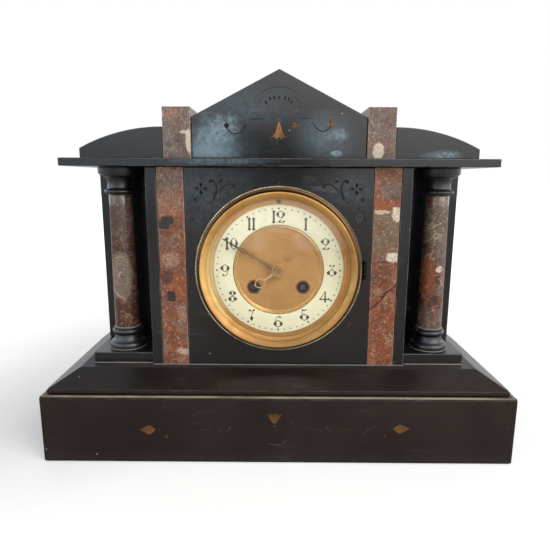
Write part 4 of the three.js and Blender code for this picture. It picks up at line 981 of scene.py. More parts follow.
def marble_material(name, scale, seed, ground, pieces, chips, shares, tints=(), patches=(), rough=0.2):
    """Red marble of broken pieces; shares are for pieces, chips, veins and flecks."""
    shade = marble()
    piece_share, chip_share, vein_share, fleck_share = shares
    tree, surface = new_material(name)
    breccia = use_effect(tree, "Breccia", Scale=scale, Seed=seed)
    base = ramp_of(tree, breccia["Ground"], ground.split(), "LINEAR")
    height = split(tree, object_vector(tree))["Z"]
    for low, high, key, amount in tints:
        base = laid(tree, base, map_range(tree, height, low * MM, high * MM), amount, getattr(shade, key))
    for key, keys, amount in (("Piece", pieces, piece_share), ("Chip", chips, chip_share)):
        broken = ramp_of(tree, breccia[key], keys.split(), "CONSTANT")
        base = laid(tree, base, breccia[key + " share"], amount, broken)
    for strong in (False, True):
        for key, centre, size, amount, ragged, soft, square in patches:
            if (amount > 0.9) == strong:
                top = getattr(shade, key)
                base = patch_over(tree, base, top, centre, size, amount, ragged, soft, 240.0, square)
        if not strong:
            base = laid(tree, base, breccia["Vein"], vein_share, shade.cream)
            base = laid(tree, base, breccia["Fleck"], 0.75 * fleck_share, shade.cream)
            base = laid(tree, base, breccia["Pit"], 0.7, shade.dark)
    mottled = map_range(tree, breccia["Grain"], 0.32, 0.68, 0.55, 1.4)
    set_surface(
        tree,
        surface,
        base_color=mixed(tree, 1.0, base, grey_of(tree, mottled), "MULTIPLY"),
        roughness=lifted(tree, breccia["Grain"], 0.2, rough),
        specular_ior_level=0.42,
        normal=bumped(tree, breccia["Vein"], 0.1, 0.0003),
    )


def metal_material(name, bright, dull, rough, spots=0.4, rings=0.0, patches=(), fineness=1.0, metallic=1.0):
    """Old metal with stains and spots, and lathe rings where they are asked for."""
    shade = metal()
    tree, surface = new_material(name)
    tarnish = use_effect(tree, "Tarnish", Scale=1.0)
    turning = use_effect(tree, "Turning marks", Fineness=fineness)
    base = mixed(tree, tarnish["Stain"], getattr(shade, bright), getattr(shade, dull))
    base = laid(tree, base, map_range(tree, turning["Band"], 0.35, 0.65), rings, getattr(shade, dull))
    for key, *patch in patches:
        base = patch_over(tree, base, getattr(shade, key), *patch, 160.0)
    roughness = lifted(tree, tarnish["Stain"], 0.16, rough)
    height = math_node(tree, "ADD", product(tree, turning["Ring"], rings), tarnish["Grain"])
    set_surface(
        tree,
        surface,
        base_color=laid(tree, base, tarnish["Spot"], spots, shade.hand_dark),
        metallic=metallic,
        roughness=lifted(tree, turning["Ring"], 0.12 * min(rings + 0.2, 1), roughness),
        normal=bumped(tree, height, 0.12, 0.00012),
    )


def enamel_material(name, patches):
    """Fired ivory enamel with faint stains, duller patches and a few hairline cracks."""
    shade = metal()
    tree, surface = new_material(name)
    tarnish = use_effect(tree, "Tarnish", Scale=1.4)
    vector = object_vector(tree)
    edges = cells_of(tree, vector, 42.0, "DISTANCE_TO_EDGE")["Distance"]
    broken = map_range(tree, noise_of(tree, vector, 30, 3), 0.55, 0.65)
    crack = product(tree, map_range(tree, edges, 0.0, 0.012, 1.0, 0.0), broken)
    base = laid(tree, shade.enamel, tarnish["Stain"], 0.55, shade.enamel_shade)
    base = laid(tree, base, crack, 0.35, (0.3, 0.29, 0.24))
    base = laid(tree, base, tarnish["Spot"], 0.12, (0.35, 0.33, 0.26))
    for patch in patches:
        base = patch_over(tree, base, shade.enamel_dull, *patch, 90.0)
    set_surface(
        tree,
        surface,
        base_color=base,
        roughness=lifted(tree, tarnish["Stain"], 0.1, 0.16),
        coat_weight=0.3,
        coat_roughness=0.06,
        normal=bumped(tree, tarnish["Stain"], 0.08, 0.0004),
    )


def ink_material(name):
    """Fired black paint of the numerals, a little thin in places."""
    tree, surface = new_material(name)
    tarnish = use_effect(tree, "Tarnish", Scale=2.5)
    set_surface(
        tree,
        surface,
        base_color=laid(tree, metal().ink, tarnish["Stain"], 0.5, (0.06, 0.07, 0.06)),
        roughness=lifted(tree, tarnish["Grain"], 0.2, 0.25),
        specular_ior_level=0.35,
    )


def glass_material(name):
    """Clear convex glass, a little dusty; it casts hardly any shadow on the dial."""
    tree, surface = new_material(name)
    tarnish = use_effect(tree, "Tarnish", Scale=0.8)
    set_surface(
        tree,
        surface,
        base_color=mixed(tree, tarnish["Stain"], (1, 1, 1), (0.97, 0.97, 0.95)),
        roughness=0.0,
        transmission_weight=1.0,
        ior=1.45,
        specular_ior_level=0.1,
    )
    clear = shader_node(tree, "ShaderNodeBsdfTransparent", {"Color": (0.97, 0.98, 0.97, 1)})
    shadow = shader_node(tree, "ShaderNodeLightPath").outputs["Is Shadow Ray"]
    end_in(tree, shader_mix(tree, shadow, surface, clear))


def paper_material(name):
    """Paper that is white to the camera and keeps the shadow, with painted shadow beside the plinth's left
    side; in front it glows brown to reflections only, as painted reflection.
    """
    tree, surface = new_material(name)
    vector = object_vector(tree)
    x, y, z = split(tree, vector)
    path = shader_node(tree, "ShaderNodeLightPath").outputs
    tone = map_range(tree, noise_of(tree, vector, 6, 3), 0.3, 0.7, 0.97, 1.0)
    base = mixed(tree, 1.0, bpy.context.scene.clock_stage.floor, grey_of(tree, tone), "MULTIPLY")
    set_surface(tree, surface, base_color=base, roughness=0.9, specular_ior_level=0.1)
    lift = product(tree, path["Is Camera Ray"], map_range(tree, far_of(tree, vector), 0.3, 1.0, 0.36, 0.85))
    # Painted shadow: the camera glow is dimmed on the floor to the left of the plinth
    beside = vector_math(tree, "SUBTRACT", vector, (-0.26, 0, 0))
    beside = vector_math(tree, "DIVIDE", beside, (0.14, 0.13, 1))
    lift = product(tree, lift, map_range(tree, far_of(tree, beside), 0.2, 1.3, 0.45, 1.0))
    glow = shader_node(tree, "ShaderNodeEmission", {"Color": (1, 1, 1, 1), "Strength": lift})
    both = shader_node(tree, "ShaderNodeAddShader", {0: surface.outputs["BSDF"], 1: glow.outputs["Emission"]})
    # Painted reflection: in front of the clock the floor glows brown to glossy rays only, for the slate to
    # reflect
    strength = map_range(tree, y, -0.15, -0.45, 0.34, 0.74)
    brown = shader_node(tree, "ShaderNodeEmission", {"Color": (1, 0.84, 0.76, 1), "Strength": strength})
    inside = map_range(tree, math_node(tree, "ABSOLUTE", x), 0.8, 0.4)
    before = product(tree, map_range(tree, y, -0.06, -0.1), inside)
    end_in(tree, shader_mix(tree, product(tree, before, path["Is Glossy Ray"]), both, brown))


def finish(name):
    """Material by name, made when it is first asked for."""
    if name not in bpy.data.materials:
        FINISHES[name](name)
    return bpy.data.materials[name]


# Patches of the finishes, in millimetres: centre, half size, amount, raggedness and softness, with the
# colour before them where there are several; marble patches end in how square they are

CROWN_FRONT = -46
PANEL_FRONT = -47.6
BLOCK_FRONT = -47.5
ENAMEL_FRONT = -49
SURROUND_FRONT = -50
BEZEL_FRONT = -58

# Cloudy patches on the pediment: dull bloom, and painted reflection of a bluish window
PEDIMENT_PATCHES = (
    ((-46, CROWN_FRONT, 257), (20, 60, 11), 0.15, 0.8, 0.6),
    ((-54, CROWN_FRONT, 252.6), (17, 60, 4), 0.4, 0.8, 0.45),
    ((-50, CROWN_FRONT, 272), (13, 60, 10), 0.6, 1.3, 0.45),
    ((-60, CROWN_FRONT, 262), (6, 60, 9), 0.3, 1.2, 0.5),
    ((36, CROWN_FRONT, 265), (15, 60, 12), 0.15, 0.8, 0.7),
    ((47, CROWN_FRONT, 266.6), (8, 60, 4.4), 0.5, 1.2, 0.45),
    ((46, CROWN_FRONT, 252.6), (3.6, 60, 2), 0.95, 0.9, 0.4),
    ((-30, CROWN_FRONT, 288), (26, 60, 11), 0.12, 0.7, 0.8),
)
# Smooth painted reflection of a bluish window on the pediment
PEDIMENT_PAINTED_SHEENS = (
    ((-54, CROWN_FRONT, 254), (14, 60, 10), 0.46, 0.3, 0.95),
    ((36, CROWN_FRONT, 264), (17, 60, 13), 0.16, 0.3, 0.9),
)
# Pale blue patches on the panel and the cornice, in the colour that stands for bloom and painted reflection
PANEL_PATCHES = (
    ((-58, PANEL_FRONT, 222), (24, 10, 24), 0.12, 0.6, 0.9),
    ((-46, -59, 246), (30, 30, 2.2), 0.25, 1.2, 0.6),
    ((60, PANEL_FRONT, 224), (20, 10, 14), 0.1, 1, 0.7),
    ((130, CROWN_FRONT, 251), (12, 12, 3), 0.5, 0.9, 0.5),
)
LEFT_STRIP_PATCHES = (
    ("grey", (-88, PANEL_FRONT, 230), (12, 12, 9), 0.65, 0.9, 0.4, 0),
    ("pink", (-85, PANEL_FRONT, 237), (11, 12, 2.4), 0.5, 1.2, 0.3, 0),
    ("pink", (-88, PANEL_FRONT, 212), (13, 12, 10), 0.4, 0.9, 0.4, 0),
    ("orange", (-84, PANEL_FRONT, 142), (9, 12, 11), 0.8, 0.7, 0.2, 0.5),
    ("dark_red", (-93, PANEL_FRONT, 151), (5, 12, 6), 0.8, 0.6, 0.15, 0.6),
    ("pink", (-90, PANEL_FRONT, 166), (8, 12, 6), 0.7, 0.8, 0.25, 0),
    ("pink", (-82, PANEL_FRONT, 120), (4, 12, 8), 0.8, 0.7, 0.3, 0),
    ("grey", (-85, PANEL_FRONT, 110), (5, 12, 3), 0.6, 0.8, 0.3, 0),
    ("cream", (-82, PANEL_FRONT, 86), (5, 12, 3), 0.6, 0.9, 0.3, 0),
    ("dark", (-95, PANEL_FRONT, 195.2), (5.2, 9, 3.6), 1, 0.4, 0.05, 0.7),
    ("dark", (-91.4, PANEL_FRONT, 198.6), (5.4, 9, 3.4), 1, 0.4, 0.05, 0.7),
    ("dark", (-90.3, PANEL_FRONT, 134.7), (3.5, 9, 4.4), 1, 0.35, 0.05, 0.75),
)
RIGHT_STRIP_PATCHES = (
    ("grey", (91, PANEL_FRONT, 222), (8, 12, 9), 0.75, 0.6, 0.25, 0.4),
    ("dark", (95, PANEL_FRONT, 216), (4, 12, 5), 0.6, 0.7, 0.3, 0.4),
    ("orange", (87, PANEL_FRONT, 211), (13, 12, 5.5), 0.75, 0.7, 0.3, 0.6),
    ("green", (86, PANEL_FRONT, 188), (14, 12, 18), 0.75, 0.8, 0.3, 0.5),
    ("red", (84, PANEL_FRONT, 191), (4, 12, 4), 0.6, 0.7, 0.3, 0.4),
    ("cream", (96.2, PANEL_FRONT, 204.4), (3.8, 12, 6), 0.95, 0.7, 0.12, 0.4),
    ("cream", (84.5, PANEL_FRONT, 206), (7.5, 12, 1.7), 0.75, 1.1, 0.2, 0),
    ("cream", (94.5, PANEL_FRONT, 168.8), (5, 12, 3.9), 0.95, 0.5, 0.1, 0.6),
    ("dark", (87, PANEL_FRONT, 164.4), (5, 12, 1.4), 0.7, 0.9, 0.3, 0),
    ("dark_red", (86, PANEL_FRONT, 152), (11, 12, 9), 0.4, 0.7, 0.4, 0),
    ("pink", (84, PANEL_FRONT, 140), (3.4, 12, 3), 0.6, 0.9, 0.3, 0),
)
LEFT_COLUMN_PATCHES = (
    ("dark_red", (-143, -34, 190), (5, 12, 22), 0.6, 0.8, 0.4, 0),
    ("grey", (-131, -36, 200), (7, 9, 26), 0.55, 0.6, 0.5, 0),
    ("beige", (-137, -34, 148.5), (10.5, 9, 21), 0.62, 0.35, 0.12, 0),
    ("grey", (-134, -34, 145), (6.5, 9, 14), 0.45, 0.6, 0.3, 0),
    ("pink", (-140.6, -34, 147), (1.3, 9, 13), 0.5, 0.6, 0.3, 0),
)
RIGHT_COLUMN_PATCHES = (
    ("green", (136, -35, 196), (12, 9, 22), 0.6, 0.8, 0.4, 0),
    ("orange", (129, -33, 148), (6, 9, 18), 0.7, 0.9, 0.4, 0),
    ("grey", (141, -35, 172), (5, 9, 12), 0.6, 0.6, 0.4, 0),
    ("cream", (138.6, -35, 156.6), (3.2, 9, 2.6), 0.9, 0.6, 0.15, 0),
    ("pink", (142, -33, 150), (2, 9, 7), 0.6, 0.7, 0.3, 0),
)
BLOCK_PATCHES = (
    ("pink", (-86, BLOCK_FRONT, 283), (9, 40, 5), 0.5, 0.9, 0.4, 0),
    ("dark_red", (86, BLOCK_FRONT, 280), (9, 40, 9), 0.35, 0.8, 0.5, 0),
    ("cream", (-71.6, BLOCK_FRONT, 262), (2.8, 40, 9), 0.95, 0.5, 0.12, 0),
    ("cream", (-76, BLOCK_FRONT, 268.6), (3.4, 40, 1.3), 0.8, 0.7, 0.2, 0),
    ("cream", (79, BLOCK_FRONT, 254), (4.2, 40, 6.5), 0.95, 0.55, 0.1, 0),
    ("grey", (80, BLOCK_FRONT, 253), (1.6, 40, 2.6), 0.8, 0.8, 0.3, 0),
)
CENTRE_PATCHES = (
    ("centre_dark", (18, PANEL_FRONT, 140), (22, 20, 22), 0.55, 0.4, 0.8),
    ("hand_dark", (7.5, PANEL_FRONT, 167.5), (3.6, 20, 2.6), 0.5, 0.9, 0.4),
    ("hand_dark", (9.5, PANEL_FRONT, 180.5), (3.4, 20, 1.0), 0.3, 0.9, 0.5),
    ("bezel", (-5.5, PANEL_FRONT, 183.5), (2.4, 20, 0.8), 0.4, 0.8, 0.5),
    ("bezel", (-14, PANEL_FRONT, 160), (17, 20, 13), 0.35, 0.4, 0.9),
    # Painted shade under the 12
    ("centre_top", (2, PANEL_FRONT, 180), (32, 20, 15), 0.6, 0.4, 0.8),
    ("centre_right", (22, PANEL_FRONT, 172), (16, 20, 22), 0.6, 0.5, 0.8),
    # Stain and painted shade round the winding holes
    ("hole_stain", (20.55, PANEL_FRONT, 143.4), (5.9, 20, 5.9), 0.9, 0.25, 0.12),
    ("hole_stain", (-20.55, PANEL_FRONT, 143.4), (5.9, 20, 5.9), 0.9, 0.25, 0.12),
)
# Bezel: painted shade low down and on the right, and a painted highlight on the left in the pale surround
# colour
BEZEL_LIGHT_AND_SHADE_PATCHES = (
    ("bezel_low", (4, BEZEL_FRONT, 96), (46, 30, 14), 0.85, 0.3, 0.6),
    ("bezel_low", (62, BEZEL_FRONT, 150), (12, 30, 44), 0.45, 0.3, 0.6),
    ("surround", (-61, BEZEL_FRONT, 150), (10, 30, 36), 0.1, 0.3, 0.7),
    ("bezel_low", (-52, BEZEL_FRONT, 116), (15, 30, 18), 0.7, 0.3, 0.7),
    ("bezel_low", (48, BEZEL_FRONT, 106), (18, 30, 18), 0.5, 0.3, 0.7),
)
# Surround: painted highlight on the left, painted shade under the 6, and golden tints above the 12 and beside
# the 3
SURROUND_LIGHT_AND_TINT_PATCHES = (
    ("surround", (-56, SURROUND_FRONT, 150), (13, 30, 40), 0.95, 0.3, 0.6),
    ("surround_low", (6, SURROUND_FRONT, 102), (44, 30, 13), 0.75, 0.3, 0.6),
    ("surround_top", (-4, SURROUND_FRONT, 203), (50, 30, 17), 0.85, 0.3, 0.7),
    ("surround_right", (54, SURROUND_FRONT, 165), (14, 30, 36), 0.5, 0.3, 0.7),
)
ENAMEL_PATCHES = (
    ((36, ENAMEL_FRONT, 184), (26, 12, 24), 0.55, 0.6, 0.8),
    ((54, ENAMEL_FRONT, 156), (7, 12, 40), 0.6, 0.4, 0.8),
)

black_slate = partial(slate_material, dark="slate", cloud="slate_cloud")
old_brass = partial(metal_material, bright="brass", dull="brass_dark")

# Finishes by name; each is made with its name when a piece first asks for it
FINISHES = {
    "Pediment slate": partial(
        black_slate, scuffs=0.5, rough=0.15, patches=PEDIMENT_PATCHES, painted_sheens=PEDIMENT_PAINTED_SHEENS
    ),
    "Panel slate": partial(black_slate, scuffs=0.2, rough=0.17, patches=PANEL_PATCHES),
    "Turned slate": partial(black_slate, scuffs=0.15, rough=0.34),
    "Plinth slate": partial(slate_material, dark="plinth", cloud="plinth_cloud", scuffs=0.08, rough=0.2),
    "Slate arris": partial(arris_material, dark="slate_cloud", wear="arris_wear"),
    "Plinth arris": partial(arris_material, dark="plinth", wear="plinth_wear", shine=0.1),
    "Cap arris": partial(arris_material, dark="plinth_cloud", wear="cap_wear", shine=0.12),
    # Plinth ledge: painted shade next to the cap, and a pale strip of dust and painted highlight towards the
    # front
    "Plinth ledge": partial(ledge_material, dark="plinth", pale="ledge", share=0.85, painted_shade_beside="plinth_cap"),
    "Upper ledge": partial(ledge_material, dark="plinth", pale="scuff", share=0.12),
    "Plaster": partial(ledge_material, dark="scuff", pale="plaster", share=1.0),
    "Incised line": partial(line_material, base="incised", other="slate", rough=0.6),
    "Pale line": partial(line_material, base="incised_pale", other="slate_cloud", rough=0.6),
    "Faint line": partial(line_material, base="slate", other="slate_cloud", rough=0.5),
    "Gilt line": partial(line_material, base="gilt_line", other="gilt_worn", rough=0.45, metallic=0.2),
    "Bell gilt": partial(line_material, base="gilt_pale", other="gilt_worn", rough=0.5, metallic=0.1),
    "Worn gilt line": partial(line_material, base="gilt_worn", other="slate", rough=0.55),
    "Left strip marble": partial(
        marble_material, scale=135, seed=0.11, ground="dark_red red red pink",
        pieces="red dark_red grey red pink red", chips="dark_red pink red grey orange",
        shares=(0.5, 0.55, 0.25, 0.55), tints=[(165, 110, "orange", 0.35)], patches=LEFT_STRIP_PATCHES,
    ),
    "Right strip marble": partial(
        marble_material, scale=125, seed=0.47, ground="dark_red red red orange",
        pieces="red orange dark_red red pink red", chips="dark_red pink orange red red",
        shares=(0.4, 0.5, 0.3, 0.6), tints=[(150, 120, "orange", 0.5)], patches=RIGHT_STRIP_PATCHES,
    ),
    "Left column marble": partial(
        marble_material, scale=95, seed=0.83, ground="dark dark_red dark_red grey",
        pieces="dark_red grey dark_red dark", chips="dark_red red grey pink dark_red",
        shares=(0.3, 0.3, 0.16, 0.3), patches=LEFT_COLUMN_PATCHES, rough=0.06,
    ),
    "Right column marble": partial(
        marble_material, scale=105, seed=0.29, ground="dark dark_red grey red",
        pieces="dark_red green dark_red grey red", chips="dark_red red pink grey orange",
        shares=(0.35, 0.5, 0.4, 0.4), tints=[(180, 225, "green", 0.3)],
        patches=RIGHT_COLUMN_PATCHES, rough=0.06,
    ),
    "Block marble": partial(
        marble_material, scale=150, seed=0.61, ground="dark_red grey grey pink",
        pieces="grey dark_red red grey green", chips="dark_red grey pink red grey",
        shares=(0.4, 0.55, 0.3, 0.5), patches=BLOCK_PATCHES,
    ),
    "Marble arris": partial(
        marble_material, scale=160, seed=0.37, ground="red pink pink", pieces="pink red cream",
        chips="cream pink red", shares=(0.5, 0.5, 0.3, 0.5),
    ),
    "Marble vein": partial(
        marble_material, scale=300, seed=0.21, ground="grey pink cream", pieces="cream pink",
        chips="cream grey pink", shares=(0.4, 0.5, 0.2, 0.5),
    ),
    "Gilt dial centre": partial(
        metal_material, bright="centre", dull="centre_dark", rough=0.55, spots=0.25, rings=0.12,
        patches=CENTRE_PATCHES, fineness=0.6, metallic=0.3,
    ),
    "Gilt bezel": partial(
        metal_material, bright="bezel", dull="bezel_dark", rough=0.42, spots=0.35, rings=0.5,
        patches=BEZEL_LIGHT_AND_SHADE_PATCHES, metallic=0.5,
    ),
    "Gilt surround": partial(
        metal_material, bright="surround_base", dull="bezel_dark", rough=0.48, spots=0.3, rings=0.4,
        patches=SURROUND_LIGHT_AND_TINT_PATCHES, metallic=0.7,
    ),
    "Bead gilt": partial(
        metal_material, bright="surround", dull="bezel", rough=0.22, spots=0.15, rings=0.2, metallic=0.8
    ),
    "Dark cove": partial(metal_material, bright="cove", dull="hand_dark", rough=0.34, spots=0.6, rings=0.4),
    "Rope edge": partial(metal_material, bright="rope", dull="hand", rough=0.28, spots=0.3),
    "Key square": partial(metal_material, bright="key", dull="iron", rough=0.4, spots=0.5),
    "Hand gilt": partial(metal_material, bright="hand", dull="hand_shade", rough=0.4, metallic=0.6),
    "Hand boss": partial(
        metal_material, bright="bezel", dull="hand", rough=0.26, spots=0.3, rings=0.6, metallic=0.7
    ),
    "Movement brass": partial(old_brass, rough=0.3),
    "Turned brass": partial(old_brass, rough=0.28, rings=0.4),
    "Steel": partial(metal_material, bright="steel", dull="steel_dark", rough=0.28, spots=0.3),
    "Gong steel": partial(metal_material, bright="steel_dark", dull="iron", rough=0.32, spots=0.5),
    "Hinge black": partial(metal_material, bright="hinge", dull="hinge_worn", rough=0.5),
    "Black iron": partial(metal_material, bright="iron", dull="iron_rust", rough=0.5, spots=0.6),
    "Ivory enamel": partial(enamel_material, patches=ENAMEL_PATCHES),
    "Numeral paint": ink_material,
    "Bezel glass": glass_material,
    "White paper": paper_material,
}


# Stage

def area_light(name, place_at, size, power, tint):
    """Large soft lamp aimed at the middle of the clock."""
    bpy.ops.object.light_add(type="AREA", location=place_at)
    lamp = bpy.context.object
    lamp.name = name
    lamp.rotation_euler = (Vector((0, 0, 0.15)) - Vector(place_at)).to_track_quat("-Z", "Y").to_euler()
    lamp.data.shape = "DISK"
    lamp.data.size = size
    lamp.data.energy = power
    lamp.data.color = tint


def studio_world():
    """White room: bright behind and above; in front a dim viewer before a bluish window and a bright wall."""
    world = bpy.data.worlds.new("Studio")
    bpy.context.scene.world = world
    world.use_nodes = True
    tree = world.node_tree
    tree.nodes.clear()
    x, y, z = split(tree, shader_node(tree, "ShaderNodeTexCoord").outputs["Generated"])
    aside = math_node(tree, "ABSOLUTE", x)
    path = shader_node(tree, "ShaderNodeLightPath").outputs

    rise = map_range(tree, z, -0.08, 0.13, 0.5, 2.3)
    side = map_range(tree, x, -0.35, 0.4, 0.9, 1.4)
    clear = math_node(tree, "MAXIMUM", map_range(tree, aside, 0.07, 0.14), map_range(tree, z, 0.08, 0.14))
    front = product(tree, product(tree, rise, side), map_range(tree, clear, 0, 1, 0.06, 1))
    behind = map_range(tree, z, 0.5, 0.9, 1.0, 0.5)
    level = blended(tree, map_range(tree, y, -0.75, -0.1), front, behind)
    level = product(tree, level, map_range(tree, aside, 0.55, 0.8, 1.0, 2.4))
    tint = mixed(tree, map_range(tree, x, -0.12, 0.06), (0.82, 0.93, 1), (1, 0.98, 0.97))

    def background(shade, strength):
        return shader_node(tree, "ShaderNodeBackground", {"Color": shade, "Strength": strength})

    soft = background((0.97, 0.98, 1, 1), 0.45)
    room = background(tint, level)
    white = background((1, 1, 1, 1), 1.0)
    reflected = shader_mix(tree, path["Is Glossy Ray"], soft, room)
    seen = math_node(tree, "MAXIMUM", path["Is Camera Ray"], path["Is Transmission Ray"])
    whole = shader_mix(tree, seen, reflected, white)
    shader_node(tree, "ShaderNodeOutputWorld", {"Surface": whole.outputs[0]})


class CLOCK_OT_stage(bpy.types.Operator):
    """Set up the camera, the light and the white floor"""

    bl_idname = "clock.stage"
    bl_label = "Stage"

    def execute(self, context):
        settings = context.scene.clock_stage
        context.scene.view_settings.view_transform = "Standard"
        self.camera(context, settings)
        studio_world()
        area_light("Key", (1.05, -1.15, 1.3), 1.5, settings.key_power, (1, 0.98, 0.95))
        area_light("Fill", (-1.3, -0.7, 0.75), 1.2, settings.fill_power, (0.93, 0.97, 1))
        bpy.ops.object.select_all(action="DESELECT")
        bpy.ops.mesh.primitive_plane_add(size=12, location=(0, 0, 0))
        floor = context.object
        floor.name = "Floor"
        paint(floor, "White paper")
        return {"FINISHED"}

    def camera(self, context, settings):
        """Camera of the photo, from its place and its three angles."""
        camera = bpy.data.objects.new("Camera", bpy.data.cameras.new("Camera"))
        context.collection.objects.link(camera)
        camera.data.lens = settings.lens
        camera.data.sensor_width = 36
        camera.data.sensor_fit = "HORIZONTAL"
        camera.data.clip_start = 0.01
        pitch, yaw, roll = settings.pitch, settings.yaw, settings.roll
        forward = Vector((math.sin(yaw) * math.cos(pitch), math.cos(yaw) * math.cos(pitch), -math.sin(pitch)))
        right = Vector((math.cos(yaw), -math.sin(yaw), 0))
        up = right.cross(forward)
        across = math.cos(roll) * right + math.sin(roll) * up
        upward = -math.sin(roll) * right + math.cos(roll) * up
        turn = Matrix((across, upward, -forward)).transposed().to_4x4()
        camera.matrix_world = Matrix.Translation(settings.eye) @ turn
        context.scene.camera = camera


# Stone case

def rubbed_stone(piece, node, width, face, edge, slot):
    """Paint a stone, rub its edges and let it stand for its solid."""
    paint(piece, face, edge)
    rubbed_edges(piece, width)
    hand_over(piece, "case", slot, node)
    return piece


def dress_block(node, width, face, edge, slot="slate"):
    """Block that stands for a sawn solid."""
    low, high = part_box(node)
    piece = box_piece(node + "_stone", (low + high) / 2, high - low)
    return rubbed_stone(piece, node, width, face, edge, slot)


def dress_copy(node, width, face, edge):
    """Slate with the outline of its solid."""
    return rubbed_stone(merged_copy(node, node + "_stone"), node, width, face, edge, "slate")


def add_ledge(piece, look, level):
    """Give the faces that look up the finish of a ledge, in a third slot."""
    piece.data.materials.append(finish(look))
    paint_faces(piece, 2, lambda centre, normal: normal.z > level)


def on_face(node, layer=0):
    """Place for a drawing in x and z on the front face of a solid; each layer lies a little further out."""
    return Matrix.Translation((0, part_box(node)[0].y - layer * 0.03 * MM, 0)) @ FORWARD


class CLOCK_OT_plinth(bpy.types.Operator):
    """Make the plinth and its chamfered cap"""

    bl_idname = "clock.plinth"
    bl_label = "Plinth"

    plaster_step = 6 * MM

    def execute(self, context):
        for node in ("plinth_front", "plinth_back", "left_plinth_end", "right_plinth_end"):
            width = stone().plinth_arris if node == "plinth_front" else stone().arris
            add_ledge(dress_block(node, width, "Plinth slate", "Plinth arris"), "Plinth ledge", 0.9)
        add_ledge(dress_copy("plinth_cap", stone().arris, "Plinth slate", "Cap arris"), "Upper ledge", 0.95)
        self.plaster("front", "left_bay_wall", "right_bay_wall")
        for name, side in SIDES:
            self.plaster(name, f"{name}_column_slab", f"{name}_column_slab")
        return {"FINISHED"}

    def plaster(self, name, first, last):
        """Uneven pale line where the front from one solid to another stands on the cap: plaster in the joint,
        and painted highlight along it.
        """
        low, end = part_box(first)[0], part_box(last)[1].x
        start = low.x
        parts = round((end - start) / self.plaster_step)
        points = []
        for i in range(parts + 1):
            wide = 1.1 + 0.3 * math.sin(i * 1.7) + 0.25 * math.sin(i * 0.61 + start * 90)
            points.append(((start + (end - start) * i / parts) / MM, 0, wide))
        line = flat(f"{name}_plaster_line", [stroke(points, 2)], 0.9, 0.3)
        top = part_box("plinth_cap")[1].z
        at = Matrix.Translation((0, low.y - 0.6 * MM, top + 0.45 * MM))
        settle(line, "Plaster", "case", "slate", at=at)


class CLOCK_OT_body(bpy.types.Operator):
    """Make the slates of the body and the cornice"""

    bl_idname = "clock.body"
    bl_label = "Body"

    def execute(self, context):
        width = stone().arris
        for name, side in SIDES:
            for part in ("bay_wall", "column_slab", "recess_panel", "side_wall"):
                dress_block(f"{name}_{part}", width, "Panel slate", "Slate arris")
        dress_block("cornice", width, "Panel slate", "Slate arris")
        for node in ("front_panel", "back_panel"):
            dress_copy(node, width, "Panel slate", "Slate arris")
        return {"FINISHED"}


class CLOCK_OT_crown(bpy.types.Operator):
    """Make the pediment, the curved wings and the marble blocks between them"""

    bl_idname = "clock.crown"
    bl_label = "Crown"

    wing_end = 7.6

    def execute(self, context):
        dress_copy("pediment", stone().arris, "Pediment slate", "Slate arris")
        for name, side in SIDES:
            node = f"{name}_marble_block"
            dress_block(node, stone().marble_arris, "Block marble", "Marble arris", "marble")
            self.wing(name, side)
        return {"FINISHED"}

    def wing(self, name, side):
        """Curved wing: an arc that is level beside the block and falls to a short upright end."""
        low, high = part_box(f"{name}_wing")
        inner, outer = sorted((abs(low.x) / MM, abs(high.x) / MM))
        crown = (high.z - low.z) / MM
        reach, drop = outer - inner, crown - self.wing_end
        radius = (reach**2 + drop**2) / (2 * drop)
        spread = math.asin(reach / radius)
        arc = []
        for i in range(25):
            turn = spread * (1 - i / 24)
            arc.append((inner + radius * math.sin(turn), crown - radius + radius * math.cos(turn)))
        outline = [(side * x, y) for x, y in [(inner, 0), (outer, 0), *arc]]
        piece = flat(f"{name}_wing_stone", [outline], (high.y - low.y) / MM)
        place(piece, Matrix.Translation((0, (low.y + high.y) / 2, low.z)) @ FORWARD)
        open_mesh(piece)
        bpy.ops.mesh.dissolve_limited(angle_limit=math.radians(0.5))
        close_mesh()
        paint(piece, "Panel slate", "Slate arris")
        rubbed_edges(piece, stone().arris, 25)
        settle(piece, None, "case", "slate", f"{name}_wing", degrees=CURVED_SLATE)


class CLOCK_OT_marble_strips(bpy.types.Operator):
    """Make the marble strips beside the front panel"""

    bl_idname = "clock.marble_strips"
    bl_label = "Marble strips"

    crack = (
        (77.6, 123.4, 0.5), (82, 128, 1.1), (86, 131.5, 0.7),
        (90.5, 138.5, 1.2), (95, 141.5, 0.8), (98.9, 146.6, 0.9),
    )

    def execute(self, context):
        for name, side in SIDES:
            look = f"{name.title()} strip marble"
            dress_block(f"{name}_marble_strip", stone().marble_arris, look, "Marble arris", "marble")
        piece = flat("right_strip_crack", [stroke(self.crack)], 0.06)
        settle(piece, "Incised line", "case", "marble", at=on_face("right_marble_strip"))
        return {"FINISHED"}


